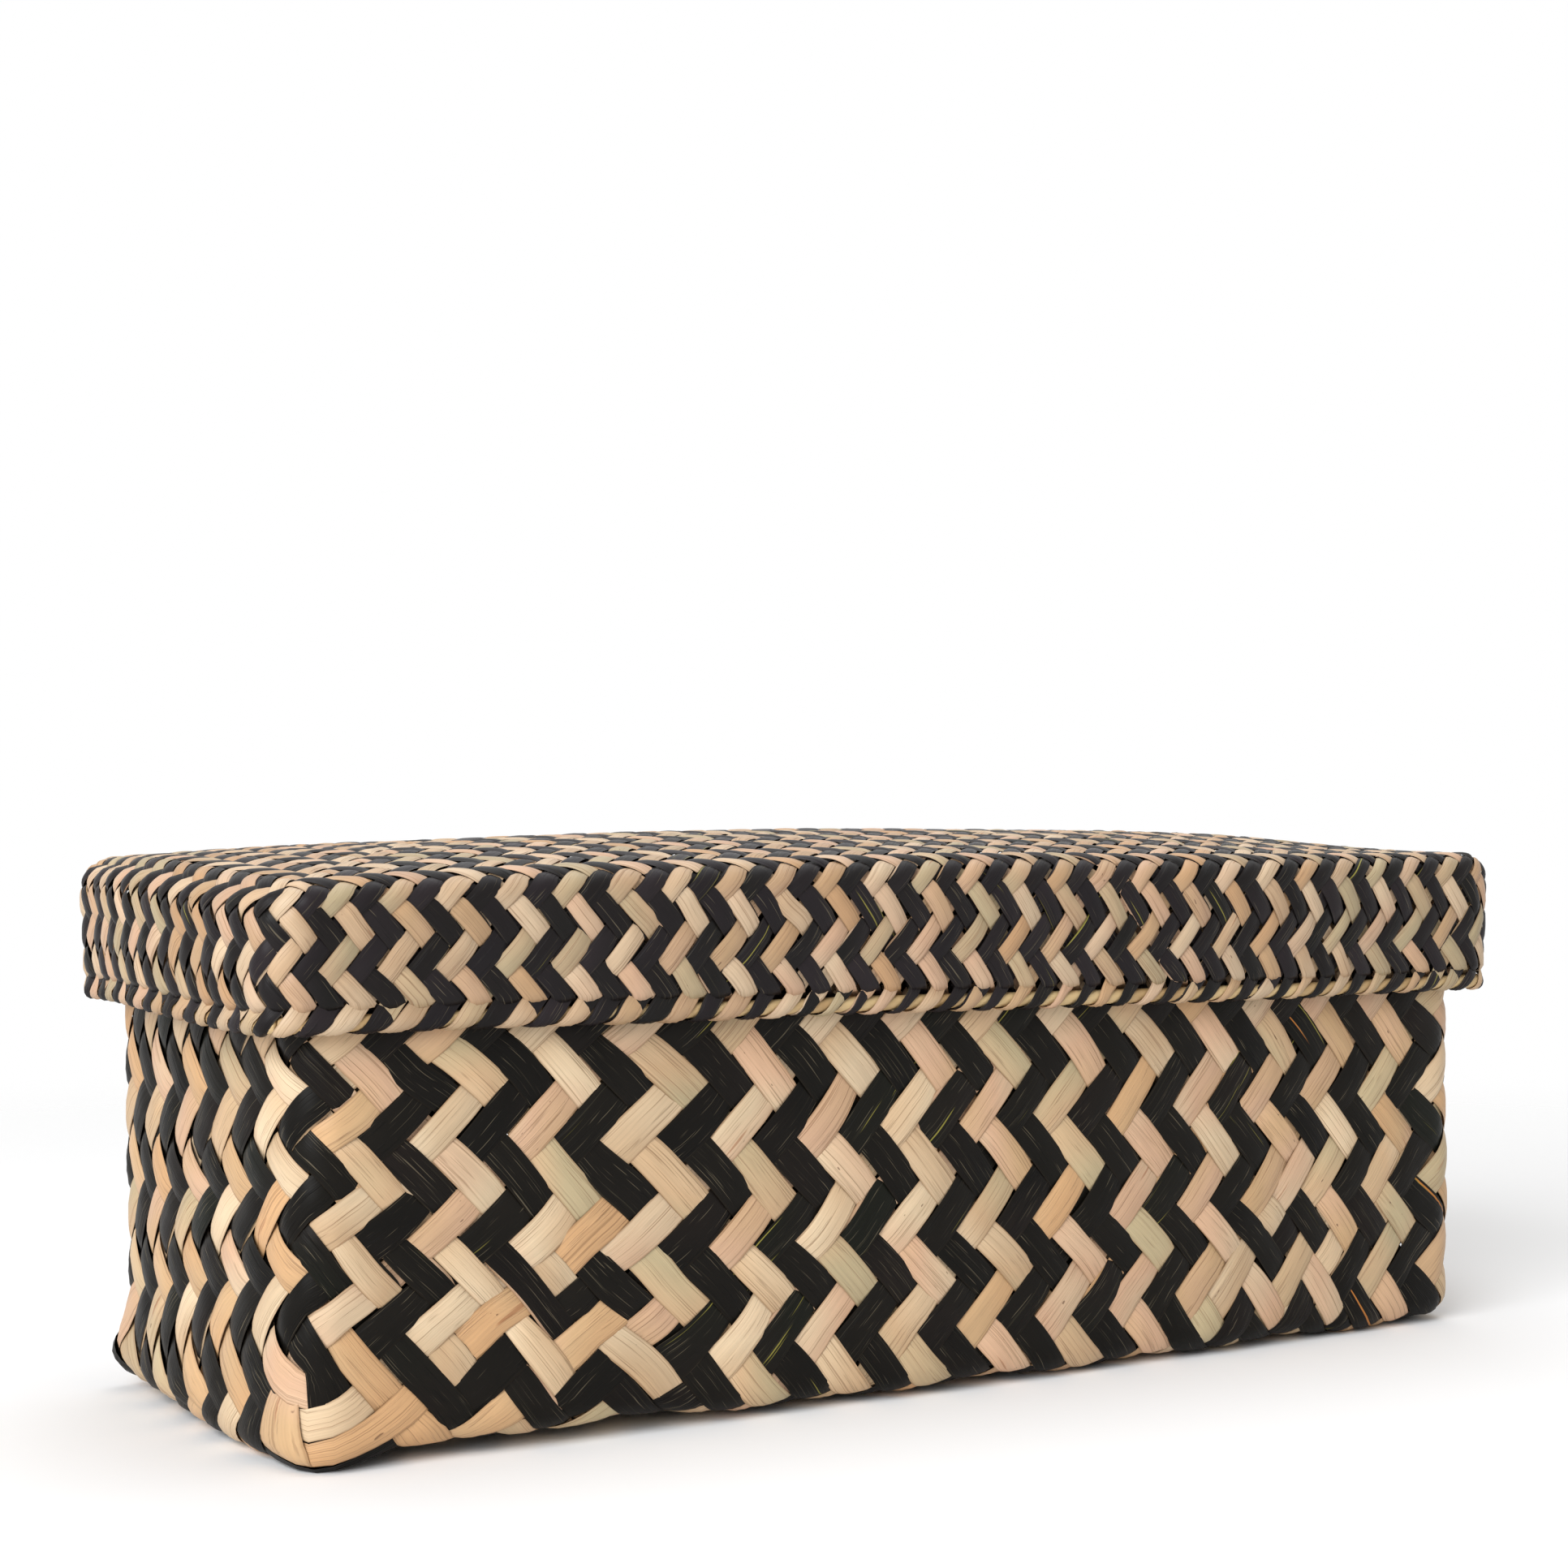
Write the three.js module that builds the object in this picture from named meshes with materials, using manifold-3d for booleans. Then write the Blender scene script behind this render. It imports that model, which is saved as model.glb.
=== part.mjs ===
// Plaited storage box: a long rectangular basket and its lift-off lid, twilled from flat leaf strips.
// Millimetres, +Z up. The origin is on the floor under the middle of the box, and the front faces -Y.
import * as THREE from 'three';
import { mergeVertices } from 'three/addons/utils/BufferGeometryUtils.js';
import Module from 'manifold-3d';

const wasm = await Module();
wasm.setup();

// Outer sizes of the lid, over its strips
const LID_LENGTH = 400;
const LID_WIDTH = 149;
const LID_EDGE_HEIGHT = 147;
const LID_CROWN = 7;
const LID_SKIRT = 41.5;
const LID_SKIRT_LEAN = 2;
const LID_EDGE_RADIUS = 6.5;

// How far the basket's walls stand inside the lid, and how the basket is rounded
const LID_OVERHANG = 9.5;
const BASE_EDGE_RADIUS = 8;
const CORNER_RADIUS = 12;
const LEAST_RADIUS = 1.5;
const LONG_SIDE_BOW = 3;
const SHORT_SIDE_BOW = 4.5;

// The plait: its ground of crossed strips, and the outer passes of the dark strips that stand on it
const PLAIT_THICKNESS = 2.4;
const STRIP_THICKNESS = 0.8;
const STRIP_ROOT = 0.2;
const MITRE_GAP = 0.3;

// Column pitch (one dark and one natural zigzag), height of one band of slanting strips, and where the first
// column's lowest tip lies: along the front from its left end, and up the basket or down from the lid's edge
const BASKET_PITCH = 26.2;
const BASKET_BAND = 14.1;
const BASKET_FIRST_TIP = 1.5;
const BASKET_TIP_HEIGHT = 16.9;
const LID_PITCH = 15.1;
const LID_BAND = 9.2;
const LID_FIRST_TIP = 10.4;
const LID_TIP_DEPTH = 23;

// Rim rods and the strip ends folded over them
const ROD_DIAMETER = 4.4;
const ROD_CLEARANCE = 0.3;
const FOLD_WIDTH = 4.6;
const FOLD_LEAN = 6;
const FOLD_RISE = 6.5;
const FOLD_BELLY = 3.05;
const FOLD_TUCK = 2.6;
const FOLD_TUCK_END = 1.8;
const FOLD_CLEARANCE = 0.3;
const HEM_DEPTH = 9;
const HEM_CLEARANCE = 0.1;
const LID_REST_GAP = 0.3;

// Facets along a long side, a short side and a rounded corner
const LONG_STEPS = 4;
const SHORT_STEPS = 4;
const CORNER_STEPS = 2;
const ARC_STEPS = 2;
const ROD_SIDES = 8;

const NATURAL = new THREE.MeshStandardMaterial({ color: 0xc9a67c, roughness: 0.62, metalness: 0 });
const DARK = new THREE.MeshStandardMaterial({ color: 0x1d1b1c, roughness: 0.5, metalness: 0 });
const CANE = new THREE.MeshStandardMaterial({ color: 0xd8bf8e, roughness: 0.5, metalness: 0 });

// Derived places
const basketLength = LID_LENGTH - 2 * LID_OVERHANG;
const basketWidth = LID_WIDTH - 2 * LID_OVERHANG;
const skin = STRIP_THICKNESS;
const rodRadius = ROD_DIAMETER / 2;
const lidRimBottom = LID_EDGE_HEIGHT - LID_SKIRT;
const lidRodHeight = lidRimBottom + STRIP_THICKNESS + ROD_CLEARANCE + rodRadius;
const lidWallBottom = lidRodHeight + rodRadius + ROD_CLEARANCE;
const lidFoldTop = lidRodHeight + FOLD_RISE;
const rodReach = rodRadius + ROD_CLEARANCE;
const flapRoot = PLAIT_THICKNESS / 2 - STRIP_ROOT;
const hemSeat = PLAIT_THICKNESS / 2 + HEM_CLEARANCE;
const lidUnderside = LID_EDGE_HEIGHT - skin - PLAIT_THICKNESS;
const basketTop = lidUnderside - LID_REST_GAP;
const basketRodHeight = basketTop - STRIP_THICKNESS - ROD_CLEARANCE - rodRadius;
const basketRodInset = skin + PLAIT_THICKNESS / 2;
const basketWallTop = basketRodHeight - rodRadius - ROD_CLEARANCE;

const SIDES = ['front', 'right', 'back', 'left'];

// How far a bowed side stands out at t = -1 to 1 along it, on the facets that the side is made of.
function bowAt(t, bow, steps) {
  const place = ((t + 1) / 2) * steps;
  const facet = Math.min(Math.floor(place), steps - 1);
  const height = (i) => bow * (1 - ((2 * i) / steps - 1) ** 2);
  return THREE.MathUtils.lerp(height(facet), height(facet + 1), place - facet);
}

// One level of a wall: a rounded rectangle with bowed sides, inset from the outer size, counter-clockwise.
function planLoop(length, width, inset, z) {
  const halfLength = length / 2 - inset;
  const halfWidth = width / 2 - inset;
  const radius = Math.max(CORNER_RADIUS - inset, LEAST_RADIUS);
  const points = [];
  for (let side = 0; side < 4; side += 1) {
    const long = side % 2 === 0;
    const reach = (long ? halfLength : halfWidth) - radius;
    const out = long ? halfWidth : halfLength;
    const bow = long ? LONG_SIDE_BOW : SHORT_SIDE_BOW;
    const steps = long ? LONG_STEPS : SHORT_STEPS;
    const turn = (side * Math.PI) / 2;
    const place = (along, outward) => points.push(new THREE.Vector3(
      along * Math.cos(turn) + outward * Math.sin(turn),
      along * Math.sin(turn) - outward * Math.cos(turn),
      z,
    ));
    for (let i = 0; i <= steps; i += 1) {
      const t = (2 * i) / steps - 1;
      place(t * reach, out + bowAt(t, bow, steps));
    }
    for (let i = 1; i < CORNER_STEPS; i += 1) {
      const angle = (i / CORNER_STEPS) * (Math.PI / 2);
      place(reach + radius * Math.sin(angle), out - radius + radius * Math.cos(angle));
    }
  }
  return points;
}

// Bare indexed geometry with merged vertices and its faces pointing out.
function closedGeometry(positions, index) {
  const bare = new THREE.BufferGeometry();
  bare.setAttribute('position', new THREE.Float32BufferAttribute(positions, 3));
  bare.setIndex(index);
  const geometry = mergeVertices(bare, 1e-4);
  const corner = [new THREE.Vector3(), new THREE.Vector3(), new THREE.Vector3()];
  const ids = geometry.index.array;
  let volume = 0;
  for (let i = 0; i < ids.length; i += 3) {
    corner.forEach((point, k) => point.fromBufferAttribute(geometry.attributes.position, ids[i + k]));
    volume += corner[0].dot(corner[1].clone().cross(corner[2]));
  }
  if (volume < 0) {
    for (let i = 0; i < ids.length; i += 3) {
      [ids[i], ids[i + 1]] = [ids[i + 1], ids[i]];
    }
  }
  return geometry;
}

// Skin over a stack of equal loops: a ring when the stack closes on itself, else capped at both ends.
function loft(loops, closesOnItself) {
  const count = loops[0].length;
  const positions = loops.flatMap((loop) => loop.flatMap((point) => point.toArray()));
  const index = [];
  const spans = closesOnItself ? loops.length : loops.length - 1;
  for (let level = 0; level < spans; level += 1) {
    const low = level * count;
    const high = ((level + 1) % loops.length) * count;
    for (let i = 0; i < count; i += 1) {
      const next = (i + 1) % count;
      index.push(low + i, low + next, high + next, low + i, high + next, high + i);
    }
  }
  if (!closesOnItself) {
    const caps = [[0, 1], [(loops.length - 1) * count, -1]];
    for (const [start, way] of caps) {
      const loop = loops[start / count];
      const centre = loop.reduce((sum, point) => sum.add(point), new THREE.Vector3()).divideScalar(count);
      const hub = positions.length / 3;
      positions.push(...centre.toArray());
      for (let i = 0; i < count; i += 1) {
        const ends = [start + i, start + ((i + 1) % count)];
        index.push(hub, ...(way > 0 ? ends.reverse() : ends));
      }
    }
  }
  return closedGeometry(positions, index);
}

function toSolid(geometry) {
  const bare = geometry.clone();
  bare.deleteAttribute('normal');
  bare.deleteAttribute('uv');
  const merged = mergeVertices(bare, 1e-4);
  return new wasm.Manifold(new wasm.Mesh({
    numProp: 3,
    vertProperties: Float32Array.from(merged.attributes.position.array),
    triVerts: Uint32Array.from(merged.index.array),
  }));
}

function toGeometry(solid) {
  const mesh = solid.getMesh();
  const geometry = new THREE.BufferGeometry();
  geometry.setAttribute('position', new THREE.BufferAttribute(Float32Array.from(mesh.vertProperties), 3));
  geometry.setIndex(new THREE.BufferAttribute(Uint32Array.from(mesh.triVerts), 1));
  return geometry;
}

// Prism over a plan outline, from z = low to z = high.
function prism(outline, low, high) {
  const shape = new THREE.Shape(outline.map(([x, y]) => new THREE.Vector2(x, y)));
  const geometry = new THREE.ExtrudeGeometry(shape, { depth: high - low, bevelEnabled: false });
  return geometry.translate(0, 0, low);
}

// The part of a ring that belongs to one side, cut along the corners' diagonals.
function sideOfRing(ring, side, length, width) {
  const beyond = 20;
  const ridge = (length - width) / 2;
  const slack = (MITRE_GAP / 2) * Math.SQRT2;
  const outlines = {
    front: [[-length / 2 - beyond, -width / 2 - beyond], [length / 2 + beyond, -width / 2 - beyond],
      [ridge, 0], [-ridge, 0]],
    right: [[ridge, 0], [length / 2 + beyond, -width / 2 - beyond],
      [length / 2 + beyond, width / 2 + beyond]],
  };
  outlines.back = outlines.front.map(([x, y]) => [-x, -y]);
  outlines.left = outlines.right.map(([x, y]) => [-x, -y]);
  const outward = { front: [0, -slack], back: [0, slack], right: [slack, 0], left: [-slack, 0] };
  const wedge = prism(outlines[side], -1, LID_EDGE_HEIGHT + beyond).translate(...outward[side], 0);
  return ring.intersect(toSolid(wedge));
}

// The dark passes of one side: bars cut from the skin, from one rounded corner to the next.
function passesOn(skinRing, bars, side, reach) {
  const end = reach - CORNER_RADIUS;
  const span = prism([[-end, -LID_LENGTH], [end, -LID_LENGTH], [end, 0], [-end, 0]], 0, LID_EDGE_HEIGHT);
  span.rotateZ((SIDES.indexOf(side) * Math.PI) / 2);
  return skinRing.intersect(bars).intersect(toSolid(span));
}

// First tip on a side, where the columns run on round the corners from the front.
function tipOnSide(side, length, width, firstTip, pitch) {
  const starts = { front: 0, right: length, back: length + width, left: 2 * length + width };
  return THREE.MathUtils.euclideanModulo(firstTip - starts[side], pitch);
}

// Vertical bars with zigzag edges over one side, which mark out that side's dark columns.
function zigzagBars(side, reach, pitch, band, firstTip, tipHeight, low, high, depth) {
  const bars = [];
  const count = Math.ceil((2 * reach) / pitch) + 2;
  const firstLevel = Math.floor((low - tipHeight) / band);
  const lastLevel = Math.ceil((high - tipHeight) / band);
  for (let k = -1; k < count; k += 1) {
    const tip = -reach + firstTip + (k + 0.5) * pitch;
    const edge = [];
    for (let level = firstLevel; level <= lastLevel; level += 1) {
      const shift = level % 2 === 0 ? 0 : pitch / 2;
      edge.push([tip + shift, tipHeight + level * band]);
    }
    const farEdge = edge.map(([x, z]) => [x + pitch / 2, z]).reverse();
    const shape = new THREE.Shape([...edge, ...farEdge].map(([x, z]) => new THREE.Vector2(x, z)));
    const bar = new THREE.ExtrudeGeometry(shape, { depth, bevelEnabled: false });
    bar.rotateX(Math.PI / 2);
    bar.rotateZ((SIDES.indexOf(side) * Math.PI) / 2);
    bars.push(toSolid(bar));
  }
  return wasm.Manifold.union(bars);
}

// Sides of a section swept through a list of stations, still open at both ends.
function sweep(stations) {
  const sides = stations[0].length;
  const index = [];
  for (let i = 0; i < stations.length - 1; i += 1) {
    for (let k = 0; k < sides; k += 1) {
      const next = (k + 1) % sides;
      const low = i * sides;
      const high = low + sides;
      index.push(low + k, low + next, high + next, low + k, high + next, high + k);
    }
  }
  return { positions: stations.flat(2), index };
}

// A strip end folded over a rod: a creased U band that winds on along the rod, rooted in the wall's outer
// face, with its end tucked up behind the rod and clear of the inner face.
function foldBand() {
  const path = [
    { across: -FOLD_TUCK_END, rise: FOLD_RISE, along: FOLD_LEAN },
    { across: -FOLD_TUCK, rise: -rodReach, along: FOLD_LEAN / 6 },
    { across: FOLD_BELLY, rise: -rodReach, along: -FOLD_LEAN / 6 },
    { across: flapRoot, rise: FOLD_RISE, along: -FOLD_LEAN },
  ];
  const stations = path.map(({ across, rise, along }) => {
    const outer = across + Math.sign(across) * STRIP_THICKNESS;
    const under = rise > 0 ? rise : rise - STRIP_THICKNESS;
    const half = FOLD_WIDTH / 2;
    return [[along - half, across, rise], [along, outer, under], [along + half, across, rise]];
  });
  const { positions, index } = sweep(stations);
  const last = (path.length - 1) * 3;
  index.push(0, 2, 1, last, last + 1, last + 2);
  return closedGeometry(positions, index);
}

// Where a side's rod runs: distance out from the middle, half its length, its bow and its facets.
function rodLine(side, length, width, inset) {
  const long = side === 'front' || side === 'back';
  return {
    out: (long ? width : length) / 2 - inset,
    reach: (long ? length : width) / 2 - CORNER_RADIUS,
    bow: long ? LONG_SIDE_BOW : SHORT_SIDE_BOW,
    steps: long ? LONG_STEPS : SHORT_STEPS,
    turn: (SIDES.indexOf(side) * Math.PI) / 2,
  };
}

// A round cane along a side's rim, bent to its bow.
function bentRod(line, z) {
  const stations = Array.from({ length: line.steps + 1 }, (_, i) => {
    const t = (2 * i) / line.steps - 1;
    const out = line.out + bowAt(t, line.bow, line.steps);
    return Array.from({ length: ROD_SIDES }, (_, k) => {
      const angle = ((k + 0.5) / ROD_SIDES) * 2 * Math.PI;
      return [t * line.reach, -out + rodRadius * Math.cos(angle), z + rodRadius * Math.sin(angle)];
    });
  });
  const { positions, index } = sweep(stations);
  const last = (stations.length - 1) * ROD_SIDES;
  for (let k = 1; k < ROD_SIDES - 1; k += 1) {
    index.push(0, k + 1, k, last, last + k, last + k + 1);
  }
  return closedGeometry(positions, index).rotateZ(line.turn);
}

// The strip ends along a side, each turned so that its root and its tuck keep to the bowed wall.
function foldsAlong(line, z, pitch, phase) {
  const band = foldBand();
  const folds = [];
  const room = line.reach - FOLD_LEAN - FOLD_WIDTH / 2;
  for (let along = -line.reach + phase; along <= room; along += pitch) {
    if (along >= -room) {
      const [root, tuck] = [-FOLD_LEAN, FOLD_LEAN].map(
        (step) => bowAt((along + step) / line.reach, line.bow, line.steps),
      );
      const copy = band.clone();
      copy.rotateZ(Math.atan((root - tuck) / (2 * FOLD_LEAN)));
      copy.translate(along, -line.out - (root + tuck) / 2, z);
      folds.push(toSolid(copy.rotateZ(line.turn)));
    }
  }
  return folds;
}

const box = new THREE.Group();
const basket = new THREE.Group();
const lid = new THREE.Group();
box.add(basket, lid);

function addPiece(group, name, geometry, material) {
  const mesh = new THREE.Mesh(geometry, material);
  mesh.name = name;
  group.add(mesh);
}

// Basket wall: up the rounded base edge and the outside, over the top and down the inside.
function basketWallRing() {
  const loops = [];
  for (let i = 0; i <= ARC_STEPS; i += 1) {
    const angle = (i / ARC_STEPS) * (Math.PI / 2);
    const inset = BASE_EDGE_RADIUS * (1 - Math.sin(angle));
    loops.push(planLoop(basketLength, basketWidth, skin + inset, BASE_EDGE_RADIUS * (1 - Math.cos(angle))));
  }
  loops.push(planLoop(basketLength, basketWidth, skin, basketWallTop));
  loops.push(planLoop(basketLength, basketWidth, skin + PLAIT_THICKNESS, basketWallTop));
  const innerRadius = BASE_EDGE_RADIUS - PLAIT_THICKNESS;
  for (let i = ARC_STEPS; i >= 0; i -= 1) {
    const angle = (i / ARC_STEPS) * (Math.PI / 2);
    const inset = PLAIT_THICKNESS + innerRadius * (1 - Math.sin(angle));
    const z = PLAIT_THICKNESS + innerRadius * (1 - Math.cos(angle));
    loops.push(planLoop(basketLength, basketWidth, skin + inset, z));
  }
  return toSolid(loft(loops, true));
}

function basketFloor() {
  const inset = skin + BASE_EDGE_RADIUS + MITRE_GAP;
  return loft([
    planLoop(basketLength, basketWidth, inset, 0),
    planLoop(basketLength, basketWidth, inset, PLAIT_THICKNESS),
  ], false);
}

// Thin ring that the basket's dark passes are cut from, between the base edge and the hem.
function basketSkinRing() {
  const low = BASE_EDGE_RADIUS;
  const high = basketRodHeight - HEM_DEPTH - HEM_CLEARANCE;
  return toSolid(loft([
    planLoop(basketLength, basketWidth, 0, low),
    planLoop(basketLength, basketWidth, 0, high),
    planLoop(basketLength, basketWidth, STRIP_THICKNESS + STRIP_ROOT, high),
    planLoop(basketLength, basketWidth, STRIP_THICKNESS + STRIP_ROOT, low),
  ], true));
}

// The basket's hem: one strip folded down both faces of the top edge, over the rods.
function basketHemRing() {
  const outside = [[hemSeat + STRIP_THICKNESS, -HEM_DEPTH], [rodReach + STRIP_THICKNESS, 0],
    [rodReach, rodReach + STRIP_THICKNESS]];
  const underside = [[rodReach - STRIP_THICKNESS, rodReach], [rodReach, 0], [hemSeat, -HEM_DEPTH]];
  const inwards = (points) => points.map(([across, rise]) => [-across, rise]).reverse();
  const profile = [...outside, ...inwards(outside), ...inwards(underside), ...underside];
  const loops = profile.map(([across, rise]) => planLoop(
    basketLength, basketWidth, basketRodInset - across, basketRodHeight + rise,
  ));
  return toSolid(loft(loops, true));
}

// Lid skirt: up the leaning outside, round the top edge, and down the inside.
function lidSkirtRing() {
  const top = LID_EDGE_HEIGHT - skin;
  const outerRadius = LID_EDGE_RADIUS - skin;
  const innerRadius = outerRadius - PLAIT_THICKNESS;
  const shoulder = top - outerRadius;
  const lean = LID_SKIRT_LEAN;
  const loops = [
    planLoop(LID_LENGTH, LID_WIDTH, skin + lean, lidWallBottom),
    planLoop(LID_LENGTH, LID_WIDTH, skin + lean, lidFoldTop),
  ];
  for (let i = 0; i <= ARC_STEPS; i += 1) {
    const angle = (i / ARC_STEPS) * (Math.PI / 2);
    const inset = skin + outerRadius * (1 - Math.cos(angle));
    loops.push(planLoop(LID_LENGTH, LID_WIDTH, inset, shoulder + outerRadius * Math.sin(angle)));
  }
  for (let i = ARC_STEPS; i >= 0; i -= 1) {
    const angle = (i / ARC_STEPS) * (Math.PI / 2);
    const inset = skin + PLAIT_THICKNESS + innerRadius * (1 - Math.cos(angle));
    loops.push(planLoop(LID_LENGTH, LID_WIDTH, inset, shoulder + innerRadius * Math.sin(angle)));
  }
  loops.push(planLoop(LID_LENGTH, LID_WIDTH, skin + PLAIT_THICKNESS + lean, lidFoldTop));
  loops.push(planLoop(LID_LENGTH, LID_WIDTH, skin + PLAIT_THICKNESS + lean, lidWallBottom));
  return toSolid(loft(loops, true));
}

// Crowned sheet of the lid's top at one depth below its outer surface.
function crownLoops(depth) {
  const rim = LID_EDGE_RADIUS + MITRE_GAP;
  const middle = LID_WIDTH / 2 - rim;
  return [0, 0.45, 0.86].map((share) => {
    const z = LID_EDGE_HEIGHT - depth + LID_CROWN * (1 - (1 - share) ** 2);
    return planLoop(LID_LENGTH, LID_WIDTH, rim + share * middle, z);
  });
}

function lidTop() {
  const upper = crownLoops(skin);
  const lower = crownLoops(skin + PLAIT_THICKNESS).reverse();
  return loft([...lower, ...upper], false);
}

function lidSkinRing() {
  const low = lidFoldTop + FOLD_CLEARANCE;
  const high = LID_EDGE_HEIGHT - LID_EDGE_RADIUS;
  const lean = LID_SKIRT_LEAN;
  const root = STRIP_THICKNESS + STRIP_ROOT;
  return toSolid(loft([
    planLoop(LID_LENGTH, LID_WIDTH, lean, low),
    planLoop(LID_LENGTH, LID_WIDTH, 0, high),
    planLoop(LID_LENGTH, LID_WIDTH, root, high),
    planLoop(LID_LENGTH, LID_WIDTH, root + lean, low),
  ], true));
}

addPiece(basket, 'basket_floor', basketFloor(), NATURAL);

const basketWall = basketWallRing();
const basketSkin = basketSkinRing();
const basketHem = basketHemRing();
for (const side of SIDES) {
  const long = side === 'front' || side === 'back';
  const reach = (long ? basketLength : basketWidth) / 2;
  const firstTip = tipOnSide(side, basketLength, basketWidth, BASKET_FIRST_TIP, BASKET_PITCH);
  const bars = zigzagBars(side, reach, BASKET_PITCH, BASKET_BAND, firstTip, BASKET_TIP_HEIGHT,
    0, basketRodHeight, LID_LENGTH);
  const ground = sideOfRing(basketWall, side, basketLength, basketWidth);
  const plait = ground.add(passesOn(basketSkin, bars, side, reach));
  addPiece(basket, `basket_${side}_plait`, toGeometry(plait), NATURAL);
  const line = rodLine(side, basketLength, basketWidth, basketRodInset);
  addPiece(basket, `basket_${side}_rim_rod`, bentRod(line, basketRodHeight), CANE);
  const hem = sideOfRing(basketHem, side, basketLength, basketWidth);
  addPiece(basket, `basket_${side}_hem`, toGeometry(hem), DARK);
}

addPiece(lid, 'lid_top_plait', lidTop(), NATURAL);

const lidSkirt = lidSkirtRing();
const lidSkin = lidSkinRing();
const lidRodInset = skin + LID_SKIRT_LEAN + PLAIT_THICKNESS / 2;
for (const side of SIDES) {
  const long = side === 'front' || side === 'back';
  const reach = (long ? LID_LENGTH : LID_WIDTH) / 2;
  const firstTip = tipOnSide(side, LID_LENGTH, LID_WIDTH, LID_FIRST_TIP, LID_PITCH);
  const bars = zigzagBars(side, reach, LID_PITCH, LID_BAND, firstTip, LID_EDGE_HEIGHT - LID_TIP_DEPTH,
    lidRimBottom, LID_EDGE_HEIGHT, LID_LENGTH);
  const line = rodLine(side, LID_LENGTH, LID_WIDTH, lidRodInset);
  const ground = sideOfRing(lidSkirt, side, LID_LENGTH, LID_WIDTH);
  const passes = passesOn(lidSkin, bars, side, reach);
  const folds = foldsAlong(line, lidRodHeight, LID_PITCH / 2, LID_FIRST_TIP);
  const plait = wasm.Manifold.union([ground, passes, ...folds]);
  addPiece(lid, `lid_${side}_plait`, toGeometry(plait), NATURAL);
  addPiece(lid, `lid_${side}_rim_rod`, bentRod(line, lidRodHeight), CANE);
}

export default box;
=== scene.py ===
"""Plaited storage box, a long basket and its lift-off lid, dressed strip by strip.

Every leaf strip is a ribbon of its own. It starts in a rim, runs on the slant down a wall, over the edge and
across the lid's top or the basket's base, and ends in the opposite rim. The strips pass over two and under
two, and dark and natural strips take turns, which draws the upright zigzags. Lengths are in metres, +Z up.
"""

import logging
import math
from dataclasses import dataclass, field
from enum import Enum
from typing import Sequence, Union

import bpy
import numpy as np
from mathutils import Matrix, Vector


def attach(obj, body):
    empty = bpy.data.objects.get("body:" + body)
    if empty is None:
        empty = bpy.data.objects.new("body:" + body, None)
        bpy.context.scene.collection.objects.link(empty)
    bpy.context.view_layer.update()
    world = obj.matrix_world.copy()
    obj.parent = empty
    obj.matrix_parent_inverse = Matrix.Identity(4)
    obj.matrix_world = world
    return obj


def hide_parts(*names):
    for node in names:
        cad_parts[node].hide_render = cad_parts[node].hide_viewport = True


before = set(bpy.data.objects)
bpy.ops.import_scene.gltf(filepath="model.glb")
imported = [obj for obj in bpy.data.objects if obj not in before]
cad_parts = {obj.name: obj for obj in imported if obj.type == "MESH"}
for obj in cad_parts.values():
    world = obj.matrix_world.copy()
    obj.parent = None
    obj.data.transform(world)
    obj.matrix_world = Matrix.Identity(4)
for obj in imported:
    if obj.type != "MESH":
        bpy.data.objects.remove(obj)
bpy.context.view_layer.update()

log = logging.getLogger("plaited_box")

MM = 0.001
SIDES = ("front", "right", "back", "left")
Colour = tuple[float, float, float, float]
Pair = tuple[float, float]
Triple = tuple[float, float, float]


def paint(red: int, green: int, blue: int) -> Colour:
    """Turn a display colour into the linear one that shaders take.

    Args:
        red: Red from 0 to 255.
        green: Green from 0 to 255.
        blue: Blue from 0 to 255.

    Returns:
        The linear colour with full alpha.
    """
    parts = [c / 255 for c in (red, green, blue)]
    linear = [c / 12.92 if c <= 0.04045 else ((c + 0.055) / 1.055) ** 2.4 for c in parts]
    return (*linear, 1.0)


def paints(*colours: tuple[int, int, int]) -> tuple[Colour, ...]:
    """Turn display colours into linear ones."""
    return tuple(paint(*colour) for colour in colours)


def ease(t: np.ndarray) -> np.ndarray:
    """Ease a share from 0 to 1, clipped at both ends."""
    t = np.clip(t, 0.0, 1.0)
    return t * t * (3 - 2 * t)


def quarter(first: np.ndarray, second: np.ndarray) -> tuple[np.ndarray, np.ndarray]:
    """Turn offsets from a corner's centre into a direction, so that a square's two sides become an even arc.

    Args:
        first: The offset along one axis, 0 or more.
        second: The offset along the other axis, 0 or more.

    Returns:
        The direction's parts along both axes, both 0 where both offsets are.
    """
    larger = np.maximum(first, second)
    angle = np.minimum(first, second) / np.where(larger > 0, larger, 1.0) * math.pi / 4
    cosine, sine = np.where(larger > 0, np.cos(angle), 0.0), np.sin(angle)
    leads = first >= second
    return np.where(leads, cosine, sine), np.where(leads, sine, cosine)


def wander(places: np.ndarray, step: float, size: float, random: np.random.Generator) -> np.ndarray:
    """A smooth random line.

    Args:
        places: Where the line is wanted, in rising order.
        step: The distance between its random values.
        size: Their standard deviation.
        random: The random numbers.

    Returns:
        The line's values at the places.
    """
    share = (places - places[0]) / step
    knots = random.normal(0, size, int(share[-1]) + 3)
    low = share.astype(int)
    return knots[low] + (knots[low + 1] - knots[low]) * ease(share - low)


def linked(name: str, data: bpy.types.ID) -> bpy.types.Object:
    """Make an object of a mesh, a light or a camera and put it in the scene.

    Args:
        name: The object's name.
        data: The mesh, the light or the camera.

    Returns:
        The object.
    """
    made = bpy.data.objects.new(name, data)
    bpy.context.scene.collection.objects.link(made)
    return made


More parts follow.
